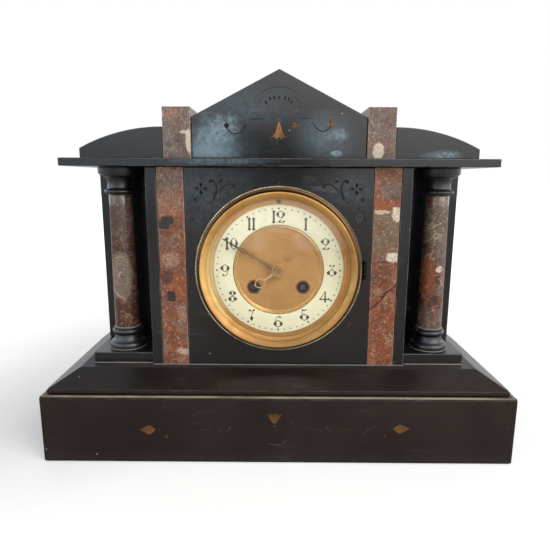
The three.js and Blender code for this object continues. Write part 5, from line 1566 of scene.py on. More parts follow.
class CLOCK_OT_columns(bpy.types.Operator):
    """Turn the column bases, shafts and capitals"""

    bl_idname = "clock.columns"
    bl_label = "Columns"

    shaft_radius = 10.6
    shaft_taper = 0.9

    # Rings of plaster at the foot of a solid, which also stand for painted highlight on top of the base's
    # ring
    plaster_rings = (
        ("plaster", "shaft", [(10.2, -0.4), (11.2, -0.4), (11.4, 0.1), (10.7, 0.7), (10.2, -0.4)]),
        ("foot_plaster", "base", [(15.2, 0), (16.5, 0), (16.3, 0.35), (15.9, 0.5), (15.2, 0)]),
    )

    # Pale veins: radius, then distances from the shaft's middle with shares of its height from the top
    drawn_veins = {
        "left": [
            (1.1, [(2.8, 0.5375), (-1.5, 0.584), (-3.9, 0.635), (-4.7, 0.666)]),
            (0.7, [(-8.5, 0.496), (-5.3, 0.473), (-1, 0.458), (2.5, 0.4625)]),
            (0.7, [(-8, 0.702), (-5.3, 0.733), (-1.5, 0.7585), (2.5, 0.774)]),
        ],
        "right": [
            (0.7, [(-8.5, 0.232), (-6.1, 0.24), (-2.1, 0.214), (2.1, 0.195)]),
            (0.6, [(-8.4, 0.339), (-4.2, 0.297), (-2, 0.255)]),
            (0.6, [(2, 0.6), (4.6, 0.63), (6, 0.67)]),
        ],
    }

    def execute(self, context):
        for name, side in SIDES:
            low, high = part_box(f"{name}_column_shaft")
            shaft = self.shaft_profile((high.z - low.z) / MM)
            turnings = (
                ("base", self.base_profile(), "Turned slate", "slate"),
                ("shaft", shaft, f"{name.title()} column marble", "marble"),
                ("capital", self.capital_profile(), "Turned slate", "slate"),
            )
            for part, profile, look, slot in turnings:
                node = f"{name}_column_{part}"
                piece = turned(node + "_turned", profile, stone().steps)
                settle(piece, look, "case", slot, node, at=self.foot(node), degrees=SOFT_TURNING)
            for suffix, part, ring in self.plaster_rings:
                line = turned(f"{name}_column_{suffix}", ring, stone().steps)
                settle(line, "Plaster", "case", "slate", at=self.foot(f"{name}_column_{part}"))
            self.veins(name, low, high)
        return {"FINISHED"}

    def foot(self, node):
        """Place at the foot of a turned solid, on its axis."""
        low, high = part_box(node)
        return Matrix.Translation(((low.x + high.x) / 2, (low.y + high.y) / 2, low.z))

    def taper(self, share):
        """Radius of the shaft at a share of its height."""
        return self.shaft_radius - self.shaft_taper * share**1.4

    def veins(self, name, low, high):
        """Pale veins that lie in the shaft's face."""
        middle = (low + high) / 2
        tall = high.z - low.z
        made = []
        for radius, points in self.drawn_veins[name]:
            path = []
            for across, share in through(points, 8):
                reach = self.taper(1 - share) - 0.85 * radius
                deep = math.sqrt(reach**2 - min(abs(across), reach - 0.1) ** 2)
                path.append((middle.x + across * MM, middle.y - deep * MM, high.z - share * tall))
            made.append(tube(f"{name}_column_vein", path, radius * MM, 12))
        settle(joined(made, f"{name}_column_veins"), "Marble vein", "case", "marble")

    def base_profile(self):
        foot = [(15.3, 0), (15.9, 0.8), (16, 2.6), (15.7, 4), (14.9, 5.2)]
        hollow = sweep((14.9, 5.2), (11.6, 6.4), (11, 11.4), 10)
        ring = half_round(13.4, 12.4, 17.4, 12)
        return [(0, 0), *foot, *hollow, (11.6, 12.2), *ring, (11.7, 17.6), (11.6, 18.3), (0, 18.3)]

    def shaft_profile(self, tall):
        swell = [(self.taper(i / 12), tall * i / 12) for i in range(1, 12)]
        return [(0, 0), (10.1, 0), (10.6, 0.5), *swell, (9.7, tall - 0.5), (9.3, tall), (0, tall)]

    def capital_profile(self):
        ring = half_round(13.3, 0.3, 3.7, 10)
        neck = sweep((11.2, 4.1), (10.1, 4.6), (10.2, 9.4), 8)
        hollow = sweep((10.2, 9.4), (10.5, 14.4), (15.7, 15.2), 10)
        head = [
            (15.8, 15.8), (16.5, 16.1), (16.5, 16.6), (17.3, 17.1),
            (17.4, 17.6), (17.4, 21.6), (16.9, 22.1),
        ]
        return [(0, 0), (11, 0), *ring, (11.2, 4.1), *neck, *hollow, *head, (0, 22.1)]


class CLOCK_OT_engraving(bpy.types.Operator):
    """Engrave the pediment, the front panel and the plinth"""

    bl_idname = "clock.engraving"
    bl_label = "Engraving"

    def execute(self, context):
        for node, drawn in (
            ("pediment", self.pediment()),
            ("front_panel", self.panel()),
            ("plinth_front", self.plinth()),
        ):
            for row in drawn:
                self.lay(node, *row)
        return {"FINISHED"}

    def lay(self, node, name, look, outlines, layer=0):
        """Lay engraved shapes, drawn in the part's own x and z, on the front face of a slate."""
        relief = stone().relief / MM
        piece = joined([flat(name, [outline], relief) for outline in outlines], name)
        settle(piece, look, "case", "gilt" if "ilt" in look else "slate", at=on_face(node, layer))

    def pediment(self):
        """Rows of name, finish, outlines and layer."""
        right = [
            (0.9, 276.6), (1.5, 273.4), (2.4, 270), (3.9, 267.2),
            (7.1, 264.6), (3.6, 264.9), (2.2, 263.2),
        ]
        left = [(-0.2 - x, z) for x, z in reversed(right)]
        bell = [(-0.1, 279), *right, (-0.1, 264.6), *left]
        edge = stroke([(x, z, 0.7) for x, z in bell + bell[:1]], 3)
        veins = [
            stroke([(-0.1, 275, 0.3), (-0.1, 270, 0.5), (-0.1, 265.4, 0.3)]),
            stroke([(-0.6, 272, 0.2), (-1.6, 268, 0.4), (-3.6, 265.4, 0.2)]),
            stroke([(0.4, 272, 0.2), (1.4, 268, 0.4), (3.4, 265.4, 0.2)]),
        ]
        pendant = [
            stroke([
                (-0.1, 263.2, 0.3), (-2, 260.8, 0.4),
                (-0.1, 258, 0.3), (1.8, 260.8, 0.4), (-0.1, 263, 0.3),
            ]),
            circle(-0.1, 284, 0.5, 10),
            circle(4.6, 279.6, 0.45, 10),
        ]
        dots = [
            circle(11.7, 274.3, 2.0, 20),
            circle(41.6, 275.9, 2.2, 20),
            circle(-0.1, 277.6, 1.5, 16),
            stroke([(13.8, 273.4, 0.9), (16.2, 274.2, 0.6), (17.6, 276.4, 0.3)]),
        ]
        # Darker discs in the gilt dots: in the middle of the bell's dot, and to the left in the other two as
        # painted shadow
        dot_places = ((10.9, 274.6, 0.9, 14), (40.7, 276.4, 1.0, 14), (-0.1, 277.6, 0.8, 12))
        dot_centres = [circle(*values) for values in dot_places]
        scrolls = [
            circle(-41.7, 273.8, 2.0, 20),
            stroke([
                (-41.6, 272, 1.2), (-39, 268.8, 0.9),
                (-35, 267.6, 0.9), (-29.6, 269.4, 1), (-26, 275, 0.8),
            ]),
            stroke([(-23.6, 278.6, 0.5), (-18, 278.9, 0.8), (-12, 278.8, 0.3)]),
            stroke([
                (41.4, 273.8, 0.9), (38, 270.6, 0.8),
                (34.2, 269.6, 0.8), (29.6, 272, 0.8), (26.8, 276, 0.6),
            ]),
            stroke([(16.4, 279, 0.3), (21, 279.4, 0.7), (25.1, 279.6, 0.4)]),
        ]
        sprays = (
            (-10.4, 291.2), (-7.3, 294.1), (-4, 294.7),
            (-0.2, 294.9), (4.5, 294.7), (7.4, 293.7), (9.5, 291.6),
        )
        scrolls += [leaf(x, z, 3.2, 1.5, 90 - x * 4) for x, z in sprays]
        arcs = [
            stroke([(-15, 297, 0.2), (-10, 301, 0.5), (-0.2, 303, 0.6), (9.6, 301, 0.5), (14.6, 297, 0.2)]),
            stroke([(-17, 287, 0.2), (-15.6, 292, 0.4), (-12.4, 296.2, 0.3)]),
            stroke([(16.6, 287, 0.2), (15.2, 292, 0.4), (12, 296.2, 0.3)]),
        ]
        return (
            ("pediment_bellflower", "Bell gilt", [bell]),
            ("pediment_bell_edge", "Worn gilt line", [edge], 2),
            ("pediment_bell_veins", "Worn gilt line", veins, 1),
            ("pediment_pendant", "Pale line", pendant),
            ("pediment_gilt_dots", "Gilt line", dots, 1),
            ("pediment_worn_dot", "Worn gilt line", [circle(-13.6, 272.7, 1.9, 20)]),
            ("pediment_scrolls", "Incised line", scrolls),
            ("pediment_arcs", "Faint line", arcs),
            ("pediment_dot_centres", "Worn gilt line", dot_centres, 3),
        )

    def panel(self):
        """Rows of name, finish and outlines."""
        stem_rows = (
            [(-56.4, 230.4, 0.6), (-54.8, 232.2, 1.7),
             (-52.4, 231.6, 0.7), (-50.6, 228, 0.7), (-50.4, 224.4, 0.8),
             (-51.4, 221.4, 1.6), (-53, 218.8, 0.7)],
            [(-48.9, 222.6, 0.3), (-46.6, 226, 0.6), (-42.3, 229.2, 0.7),
             (-38.2, 229.5, 0.9), (-35.6, 227, 1.9)],
            [(-58, 213.4, 0.2), (-56, 215, 0.5), (-53.6, 217, 0.3)],
        )
        drawn = [stroke([(x, z, 1.5 * width) for x, z, width in row]) for row in stem_rows]
        drawn += [
            leaf(-63, 229.2, 3.6, 2.8, 90),
            leaf(-63, 222.8, 3.6, 2.8, 90),
            leaf(-66.2, 226, 3.6, 2.8, 0),
            leaf(-59.6, 226, 3.6, 2.8, 0),
            stroke([(-63, 230, 0.7), (-63, 222, 0.7)]),
            circle(-46.6, 232, 1.2, 12),
            circle(-68.2, 217.4, 1.7, 14),
            circle(-65.2, 210.4, 1.1, 12),
            circle(-52.6, 218, 1.1, 12),
            circle(-70.8, 201, 1, 10),
        ]
        scrolls = [shifted(outline, 0, -1.5) for outline in drawn]
        small_leaf = [
            stroke([(-65.8, 205.2, 0.4), (-68, 201.4, 0.6), (-65.8, 197, 0.4)]),
            stroke([(-65.8, 205.2, 0.4), (-63.6, 201.4, 0.6), (-65.8, 197, 0.4)]),
            stroke([(-65.8, 203, 0.3), (-65.9, 199, 0.5)]),
        ]
        trefoil = [circle(61.8, 191.5, 0.8, 12), circle(64.8, 191.5, 0.8, 12), circle(63.3, 189, 0.8, 12)]
        return (
            ("panel_left_scrolls", "Incised line", scrolls),
            ("panel_right_scrolls", "Incised line", mirrored(scrolls)),
            ("panel_left_leaf", "Pale line", small_leaf),
            ("panel_right_leaf", "Pale line", mirrored(small_leaf)),
            ("panel_trefoil", "Worn gilt line", trefoil),
            ("panel_right_leaf_gilt", "Worn gilt line", [leaf(60.6, 110.4, 7, 2.6, 62)]),
            ("panel_speck", "Pale line", [circle(0.4, 229.4, 0.7, 12)]),
        )

    def plinth(self):
        """Rows of name, finish, outlines and layer."""
        fan = []
        for share in (-1, -0.5, 0, 0.5, 1):
            ray = ((1.2, 36.2, 0.6), (3.4, 41, 1.2), (5.2, 45 - abs(share) * 1.2, 1.1))
            fan.append(stroke([(-2.6 + share * aside, z, width) for aside, z, width in ray]))
        rows = [("plinth_fan", "Gilt line", fan)]
        for name, x, z, sign in (("left", -106.4, 29.6, 1), ("right", 101, 31.8, -1)):
            rows += self.plinth_leaf(name, x, z, sign)
        worn = [
            circle(-2.6, 33.4, 1.4, 14),
            stroke([(-64, 29.8, 0.3), (-59, 30.3, 1.2), (-54, 29.8, 0.3)]),
            circle(-91.6, 23.6, 1.6, 14),
            stroke([(52, 30.6, 0.3), (58, 31.2, 1.1), (64, 30.4, 0.3)]),
            circle(88, 25, 1.3, 14),
        ]
        faint = [
            stroke([(-8.6, 18.6, 0.2), (-3, 17, 0.5), (3, 17.4, 0.5), (8.6, 22, 0.2)]),
            stroke([(-49, 31, 0.2), (-46.6, 29.4, 0.5), (-45.4, 27.8, 0.2)]),
            stroke([(-41.6, 28.2, 0.2), (-39.6, 31.4, 0.5), (-38.6, 36, 0.2)]),
            stroke([(40, 35.6, 0.2), (41.4, 31.4, 0.5), (44, 28.8, 0.2)]),
            stroke([(70, 27, 0.2), (74, 31, 0.4), (80, 33.6, 0.2)]),
            stroke([(14, 33.6, 0.2), (12, 36.4, 0.4), (12.6, 39.4, 0.2)]),
        ]
        rows.append(("plinth_worn_gilding", "Worn gilt line", worn))
        rows.append(("plinth_faint_lines", "Pale line", faint))
        return rows

    def plinth_leaf(self, name, x, z, sign):
        """Leaf with its ribs, and a speck beside it; sign is the way that it points."""
        outline = [(-7, 0), (-3, 2.4), (1, 4), (3, 3), (6.4, 0.2), (3, -3), (0.6, -4.2), (-3, -2.2)]
        ribs = (
            [(-5, 0, 0.2), (0, 0.2, 0.5), (4.6, 0, 0.2)],
            [(-2, 1.2, 0.2), (1.4, 2, 0.4)],
            [(-2, -1.2, 0.2), (1.4, -2, 0.4)],
        )
        placed = [(x + sign * across, z + up) for across, up in outline]
        lines = [stroke([(x + sign * across, z + up, width) for across, up, width in rib]) for rib in ribs]
        return [
            (f"plinth_{name}_leaf", "Gilt line", [placed]),
            (f"plinth_{name}_leaf_ribs", "Worn gilt line", lines, 1),
            (f"plinth_{name}_speck", "Pale line", [circle(x + sign * 9, z, 0.5, 10)]),
        ]


# Dial and hands

def numeral(digit):
    """Hairline and heavy outlines of one numeral, about ten millimetres high, centred on zero."""
    def ring(x, y, across, up):
        return [oval(x, y, across, up), oval(x, y, across - 0.7, up - 0.6)[::-1]]

    def line(*points):
        return [stroke(points)]

    def pair(x, y, width, height):
        return [lozenge(-x, y, width, height), lozenge(x, y, width, height)]

    half = [(0, 5.5), (1.5, 4.3), (0.8, 3.4), (0.8, -3.4), (1.5, -4.3), (0, -5.5)]
    bar = half + [(-x, y) for x, y in half[-2:0:-1]]
    stem = [
        (0.9, 5.2), (1.4, 3.6), (1.5, -1.2), (1.7, -4.2),
        (0.9, -5.4), (0.1, -4.2), (0.3, -1.2), (0.4, 3.6),
    ]
    tail = [(2.4, 1, 0.5), (1.9, -2.6, 0.5), (0.2, -4.8, 0.5), (-1.7, -4.4, 0.6)]
    nine = pair(2.6, 1.7, 2.6, 4) + [lozenge(-1.6, -4.1, 1.7, 1.8)]
    shapes = {
        0: ([ring(0, 0, 2.4, 4.8)], pair(2.2, 0, 2.2, 6.4)),
        1: ([], [bar]),
        2: (
            [
                ring(0, 2, 2.4, 2.8),
                line((2.2, 0.8, 0.5), (0.4, -2, 0.45), (-2.6, -4.4, 0.5)),
                line((-2.6, -4.5, 0.5), (-0.8, -3.5, 0.7), (0.9, -4.5, 0.7), (2.9, -3.7, 0.5)),
            ],
            pair(2.5, 2, 2.5, 3.8) + [lozenge(-1, -3.9, 1.8, 1.7), lozenge(2.7, -3.6, 1.8, 1.8)],
        ),
        3: (
            [ring(0, -1.9, 2.5, 2.9), line((1.3, 3.8, 0.5), (0.2, 1.9, 0.45), (0, 0.9, 0.4))],
            pair(2.9, -1.9, 2.7, 3.6) + [lozenge(-1.4, 4.1, 1.7, 1.9), lozenge(1.6, 4.3, 1.7, 1.9)],
        ),
        4: (
            [line((0.9, 4.8, 0.45), (-1, 1.6, 0.45), (-3.2, -1.9, 0.45))],
            [
                stem,
                lozenge(-3, -2.2, 2.2, 2),
                lozenge(3.8, -2.2, 2.2, 2),
                *line((-3, -2.2, 0.8), (0, -2.3, 0.9), (3.6, -2.2, 0.8)),
            ],
        ),
        5: (
            [
                ring(0, -1.8, 2.5, 2.9),
                line((-1.7, 4.5, 0.5), (-1.9, 2, 0.45), (-2.2, 0.2, 0.4)),
                line((-1.8, 4.6, 0.7), (0.2, 4.2, 0.9), (2, 4.9, 0.5)),
            ],
            pair(2.7, -1.8, 2.6, 3.8) + [lozenge(-1.7, 4.4, 1.6, 1.7)],
        ),
        6: (
            [ring(0, -1.7, 2.5, 3.1), line(*((-x, -y, width) for x, y, width in tail))],
            [[(-x, -y) for x, y in outline] for outline in nine],
        ),
        7: (
            [
                line((-2, 4.2, 0.5), (-0.2, 3.5, 0.6), (2, 4.6, 0.5)),
                line((2, 4.5, 0.45), (0.4, 1.6, 0.45), (-0.2, -0.8, 0.5)),
            ],
            [lozenge(-1.9, 4, 1.9, 2), lozenge(-0.3, -2.9, 2.7, 4.6), lozenge(1.9, 4.4, 1.5, 1.6)],
        ),
        8: (
            [ring(0, 2.5, 1.6, 2.2), ring(0, -2.3, 2, 2.6)],
            pair(1.8, 2.7, 2.6, 3) + pair(2.3, -2.4, 2.9, 3.4),
        ),
        9: ([ring(0, 1.7, 2.5, 3.1), line(*tail)], nine),
    }
    return shapes[digit]


def round_at(radius, clock_turn):
    """Place at a radius on the dial, with the turn in degrees clockwise from the 12."""
    turn = math.radians(clock_turn)
    return radius * math.sin(turn), radius * math.cos(turn)


class CLOCK_OT_dial(bpy.types.Operator):
    """Make the dial frame, gilt centre, enamel chapter ring, numerals and minute dots"""

    bl_idname = "clock.dial"
    bl_label = "Dial"

    winding_at = (("right", 20.55, -14.5), ("left", -20.55, -14.5))
    winding_radius = 5.0
    regulator_at = (0, 56.8)
    regulator_radius = 1.45
    numeral_radius = 44.2
    dot_radius = 50.9

    def execute(self, context):
        self.surround()
        self.centre()
        self.rims()
        self.chapter_ring()
        self.numerals()
        return {"FINISHED"}

    def surround(self):
        """Dial frame: flange, sloping surround with a fine line, skirt, rear straps and hinge knuckles."""
        slope = []
        for i in range(11):
            share = i / 10
            groove = 0.35 if i == 5 else 0
            slope.append((60.6 - 6.3 * share, 3.9 - 1.8 * share - 0.5 * math.sin(math.pi * share) - groove))
        flange = [(60.9, 0.3), (66.8, 0.3), (67, 0.5), (67, 1.6), (66.8, 1.8), (60.6, 1.8)]
        profile = [(59.7, -15), (60.9, -15), *flange, *slope, (54.3, 0.9), (59.7, 0.9), (59.7, -15)]
        ring = turned("dial_frame_ring", profile, metal().steps)
        hole = pin_of("regulator_hole", self.regulator_radius, -2, 6, 24)
        place(hole, moved(*self.regulator_at))
        cut_with(ring, hole)
        pieces = [ring]
        for name, side in SIDES:
            strap = box_piece(f"{name}_strap", mm(side * 59.2, 0, -65.8), mm(2.2, 9, 107.6))
            eased(strap, 0.3)
            pieces.append(strap)
        for part in pieces:
            paint(part, "Gilt surround")
        hinge = knuckles(1, OUTER_KNUCKLES, 66.5)
        for part in hinge:
            paint(part, "Hinge black")
        piece = joined(pieces + hinge, "dial_surround")
        settle(piece, None, "case", "gilt", "dial_frame", at=DIAL, degrees=CRISP_TURNING)

    def centre(self):
        """Gilt plate with a raised bead round the matt centre, holes for the key and feet behind."""
        bead = [(37.5 - (i / 12) * 2.0, 0.6 + 1.8 * math.sin(math.pi * i / 12)) for i in range(13)]
        profile = [
            (0, -0.6), (59.4, -0.6), (59.4, 0.6), *bead,
            (35.1, 0.6), (34.9, 0.45), (34.6, 0.6), (0, 0.6),
        ]
        plate = turned("dial_centre", profile, metal().steps)
        holes = [(x, y, self.winding_radius) for name, x, y in self.winding_at]
        holes += [(0, 0, 3.6), (*self.regulator_at, self.regulator_radius)]
        for x, y, radius in holes:
            hole = pin_of("dial_hole", radius, -2, 4, 48)
            place(hole, moved(x, y))
            cut_with(plate, hole)
        feet = []
        for clock_turn in (60, 300, 180):
            foot = turned("dial_foot", [(0, -13.7), (1.3, -13.7), (1.6, -13.3), (1.6, -0.4), (0, -0.4)], 20)
            place(foot, moved(*round_at(36, clock_turn)))
            feet.append(foot)
        piece = joined([plate, *feet], "dial_centre_plate")
        place(piece, DIAL)
        paint(piece, "Gilt dial centre", "Bead gilt")
        inner, outer = 34.8 * MM, 37.6 * MM

        def on_bead(middle, normal):
            return inner < math.hypot(middle.x, middle.z - DIAL_CENTRE.z) < outer

        paint_faces(piece, 1, on_bead)
        settle(piece, None, "case", "gilt", "dial_plate", degrees=CRISP_TURNING)

    def rims(self):
        """Collars in the winding holes and a bush in the hole above the 12."""
        collar = [(5.0, -0.55), (5.0, 0.6), (5.1, 0.72), (5.5, 0.72), (5.6, 0.6), (5.6, -0.3), (5.0, -0.55)]
        bush = [(1.4, 0.6), (1.9, 0.6), (1.9, 2.75), (1.75, 2.9), (1.4, 2.9), (1.4, 0.6)]
        rows = [(f"{name}_winding", x, y, collar, 48, "Hand gilt") for name, x, y in self.winding_at]
        # Painted shade: the regulator's bush is dark so that its hole reads as a shaded hollow
        rows.append(("regulator", *self.regulator_at, bush, 32, "Dark cove"))
        for name, x, y, profile, steps, look in rows:
            rim = turned(f"{name}_hole_rim", profile, steps)
            settle(rim, look, "case", "gilt", at=DIAL @ moved(x, y), degrees=SOFT_TURNING)

    def chapter_ring(self):
        crown = []
        for i in range(17):
            share = i / 16
            crown.append((53.8 - 15.8 * share, 1.85 + 0.42 * math.sin(math.pi * share) ** 0.7))
        profile = [(37.8, 0.9), (54, 0.9), (54, 1.75), *crown, (37.8, 1.75), (37.8, 0.9)]
        piece = turned("chapter_ring_enamel", profile, metal().steps)
        settle(piece, "Ivory enamel", "case", "enamel", "chapter_ring", at=DIAL, degrees=CRISP_TURNING)

    def numerals(self):
        """Upright numerals and minute dots, painted on the ring."""
        pieces = []
        for hour in range(1, 13):
            x, y = round_at(self.numeral_radius, 30 * hour)
            digits = [int(sign) for sign in str(hour)]
            offsets = [0] if len(digits) == 1 else ([-1.8, 1.8] if hour == 11 else [-4, 1.6])
            for digit, offset in zip(digits, offsets):
                hairlines, heavy = numeral(digit)
                for outlines in hairlines:
                    lines = [shifted(outline, x + offset, y) for outline in outlines]
                    pieces.append(self.painted(lines, 2.3))
                for outline in heavy:
                    pieces.append(self.painted([shifted(outline, x + offset, y)], 2.31))
        dots = []
        for minute in range(60):
            dots.append(circle(*round_at(self.dot_radius, 6 * minute), 0.55 if minute % 5 else 0.8, 10))
        pieces.append(self.painted(dots, 2.22))
        settle(joined(pieces, "chapter_numerals"), "Numeral paint", "case", "enamel", at=DIAL)

    def painted(self, outlines, height):
        """Thin layer of paint with its top at a height."""
        piece = flat("numeral_stroke", outlines, 0.08)
        place(piece, moved(0, 0, height - 0.04))
        return piece


class CLOCK_OT_bezel(bpy.types.Operator):
    """Make the hinged bezel with its rope edge, and the convex glass"""

    bl_idname = "clock.bezel"
    bl_label = "Bezel"

    gilt_from = 59.55 * MM
    gilt_to = 64.45 * MM

    def execute(self, context):
        self.ring()
        self.glass()
        pin = merged_copy("bezel_hinge_pin", "bezel_hinge_pin_steel")
        settle(pin, "Gong steel", "case", "steel", "bezel_hinge_pin", degrees=ROUND_WIRE)
        return {"FINISHED"}

    def ring(self):
        cove = sweep((67.4, 4.6), (64.6, 4.9), (64.5, 10.8), 12)
        slope = []
        for i in range(1, 9):
            share = i / 8
            slope.append((63.4 - 4.0 * share, 11.2 - 2.9 * share + 0.35 * math.sin(math.pi * share)))
        profile = [
            (61.2, 2.1), (68, 2.1), (68.2, 2.5), (68.2, 3.6), (67.9, 4.2), (67.4, 4.6), *cove, (64.4, 11.2),
            (63.9, 11.35), (63.4, 11.2), *slope, (59.4, 7.6), (61.2, 7.6), (61.2, 2.1),
        ]
        body = turned("bezel_body", profile, metal().steps)
        paint(body, "Gilt bezel", "Dark cove", "Rope edge")
        # Faces outside the gilt band take the dark finish: the hollow behind the rope, and as painted shade
        # the inner lip that draws the dark gap line round the glass
        paint_faces(body, 1, lambda at, normal: not self.gilt_from < math.hypot(at.x, at.y) < self.gilt_to)
        hinge = knuckles(1, MIDDLE_KNUCKLE, 66)
        for part in hinge:
            paint(part, "Hinge black")
        piece = joined([body, self.rope(), *hinge, self.thumb_tab()], "bezel_ring_gilt")
        settle(piece, None, "bezel", "gilt", "bezel_ring", at=DIAL, degrees=CRISP_TURNING)

    def rope(self):
        """One slanting bead, carried round the edge."""
        bpy.ops.object.select_all(action="DESELECT")
        bpy.ops.mesh.primitive_uv_sphere_add(segments=8, ring_count=5, radius=1, location=(0, 0, 0))
        bead = bpy.context.object
        bead.name = "bezel_rope"
        bead.scale = mm(0.8, 0.64, 0.95)
        bead.rotation_euler = (0.4, 0, 0)
        bead.location = mm(68.35, 0, 4.0)
        bpy.ops.object.transform_apply(location=True, rotation=True, scale=True)
        paint(bead, "Rope edge")
        open_mesh(bead)
        bpy.ops.mesh.spin(steps=metal().beads, dupli=True, angle=FULL_TURN, center=(0, 0, 0), axis=(0, 0, 1))
        bpy.ops.mesh.select_all(action="SELECT")
        bpy.ops.mesh.remove_doubles(threshold=1e-6)
        bpy.ops.mesh.normals_make_consistent(inside=False)
        close_mesh()
        return bead

    def thumb_tab(self):
        end = [(69.4, 3.5), (70.6, 3), (71.1, 1.6)]
        lower = [(x, -y) for x, y in end]
        tab = flat("bezel_tab", [[(65, -3.5), *lower, *reversed(end), (65, 3.5)]], 1.6, 0.25)
        place(tab, Matrix.Rotation(math.radians(165), 4, "Z") @ moved(0, 0, 2.9))
        paint(tab, "Dark cove")
        return tab

    def glass(self):
        edge, rise, thick, low = 60.9, 6.0, 1.8, 5.2
        sphere = (edge**2 + rise**2) / (2 * rise)
        inner = []
        for i in range(25):
            radius = edge * i / 24
            inner.append((radius, low + rise - sphere + math.sqrt(sphere**2 - radius**2)))
        outer = [(radius, height + thick) for radius, height in reversed(inner)]
        piece = turned("bezel_glass_clear", inner + outer, metal().steps)
        settle(piece, "Bezel glass", "bezel", "glass", "bezel_glass", at=DIAL, degrees=SOFT_TURNING)


class CLOCK_OT_hands(bpy.types.Operator):
    """Make the pierced minute and hour hands"""

    bl_idname = "clock.hands"
    bl_label = "Hands"

    # Right half of a blade and of its opening, from the boss to the tip
    minute_half = (
        (3.0, 2), (2.2, 9), (1.5, 16), (1.0, 20.6), (1.0, 22.4),
        (1.6, 23.2), (2.5, 24.6), (1.6, 26), (0.9, 26.8),
        (0.9, 27.8), (1.6, 30.4), (2.2, 33.4), (1.7, 36.4), (0.8, 39.4), (0.55, 44), (0.25, 53),
    )
    minute_opening = ((0, 30), (0.95, 33.2), (0, 36.8))
    hour_half = (
        (2.3, 2.8), (1.2, 8), (0.75, 11.6), (0.9, 12.6), (1.6, 13.2), (0.8, 13.8), (1.6, 14.6), (3.4, 16.2),
        (4.3, 18.4), (3.9, 20.4), (2.2, 22.4), (1.0, 23.6), (0.5, 24.6), (0.2, 28),
    )
    hour_opening = ((0, 14.9), (1.4, 15.6), (3.0, 17.0), (3.4, 18.5), (3.0, 19.9), (1.6, 21.5), (0, 22.8))

    def execute(self, context):
        self.hand("minute", self.minute_half, self.minute_opening, 300, 4.9, 5.8, 2.2, 40, "Hand gilt")
        self.hand("hour", self.hour_half, self.hour_opening, 235, 2.9, 5.4, 3.4, 23, "Bead gilt")
        return {"FINISHED"}

    def hand(self, name, half, opening, clockwise, height, boss, bore, dark_from, look):
        """Blade on a turned boss, both at a height over the dial; the tip is dark from a given radius."""
        outline = [*half, *((-x, y) for x, y in reversed(half))]
        hole = [*opening, *((-x, y) for x, y in opening[-2:0:-1])]
        blade = flat(f"{name}_blade", [outline, hole], 0.7, 0.12)
        place(blade, moved(0, 0, height + 0.75))
        paint(blade, look, "Black iron")
        paint_faces(blade, 1, lambda centre, normal: centre.y > dark_from * MM)
        top, hollow = height + 1.5, height + 0.6
        profile = [
            (bore, height), (boss - 0.3, height), (boss, height + 0.3),
            (boss, height + 1.1), (boss - 0.4, top),
            (boss - 1.1, top), (boss - 1.4, hollow), (bore + 0.9, hollow), (bore + 0.5, top), (bore, top),
            (bore, height),
        ]
        collet = turned(f"{name}_boss", profile, 64)
        paint(collet, "Hand boss")
        piece = joined([blade, collet], f"{name}_hand_gilt")
        at = DIAL @ Matrix.Rotation(-math.radians(clockwise), 4, "Z")
        settle(piece, None, name, "gilt", f"{name}_hand", at=at, degrees=CRISP_TURNING)


# Movement, gong and rear door

class CLOCK_OT_movement(bpy.types.Operator):
    """Finish the plates, wheels, arbors and pendulum"""

    bl_idname = "clock.movement"
    bl_label = "Movement"

    brass_nodes = (
        "front_plate", "back_plate", "going_barrel", "strike_barrel",
        "second_wheel", "centre_wheel", "third_wheel",
        "escape_wheel", "minute_wheel", "hour_wheel", "suspension_cock",
    )
    key_nodes = ("going_winding_arbor", "strike_winding_arbor", "regulator_arbor")
    steel_nodes = (
        "going_winding_arbor", "strike_winding_arbor", "cannon_pinion", "anchor", "pendulum_rod",
        "regulator_arbor", "hammer",
    )
    screw_radius = 39.5 * MM

    def execute(self, context):
        bodies = frame["record"]["behaviour"]["bodies"]
        owner = {node: body for body, members in bodies.items() for node in members}
        for node in self.brass_nodes:
            self.dress(node, owner[node], "Movement brass", "brass")
        for node in self.steel_nodes:
            look = "Key square" if node in self.key_nodes else "Steel"
            self.dress(node, owner[node], look, "steel")
        self.bob(owner["pendulum_bob"])
        self.pillar_screws()
        return {"FINISHED"}

    def dress(self, node, body, look, slot):
        """Piece with the form of its solid, its edges broken by a fine bevel."""
        piece = merged_copy(node, node + "_piece")
        broken_edges(piece, 0.12, 1)
        settle(piece, look, body, slot, node, degrees=CUT_METAL)

    def pillar_screws(self):
        """Slotted screws that hold the back plate to its pillars."""
        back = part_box("back_plate")[1].y
        profile = [(0, -0.2), (2.7, -0.2), (2.7, 0.9), (2.3, 1.2), (0.8, 1.35), (0, 1.35)]
        heads = []
        for degrees in (40, 140, 250, 290):
            head = turned("pillar_screw", profile, 32)
            cut_with(head, box_piece("screw_groove", mm(0, 0, 1.2), mm(7, 0.7, 1.2)))
            turn = math.radians(degrees)
            across, up = self.screw_radius * math.cos(turn), self.screw_radius * math.sin(turn)
            at = Matrix.Translation((across, back, DIAL_CENTRE.z + up))
            place(head, at @ BACKWARD @ Matrix.Rotation(turn, 4, "Z"))
            heads.append(head)
        settle(joined(heads, "back_plate_screws"), "Steel", "case", "steel", degrees=CRISP_TURNING)

    def bob(self, body):
        """Brass bob: a turned lens with a rim, bored for the rod."""
        low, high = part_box("pendulum_bob")
        half = (high.y - low.y) / 2 / MM
        edge = (high.x - low.x) / 2 / MM
        front = [(edge * 0.94 * i / 12, half * (1 - (i / 12) ** 2.6 * 0.86)) for i in range(13)]
        front += [(edge * 0.97, half * 0.22), (edge, half * 0.1)]
        back = [(radius, -height) for radius, height in reversed(front)]
        lens = turned("pendulum_bob_brass", front + back, 72)
        hole = pin_of("bob_hole", 1.4, -edge - 2, edge + 2, 20)
        place(hole, BACKWARD)
        cut_with(lens, hole)
        at = Matrix.Translation((low + high) / 2) @ FORWARD
        settle(lens, "Movement brass", body, "brass", "pendulum_bob", at=at, degrees=CRISP_TURNING)


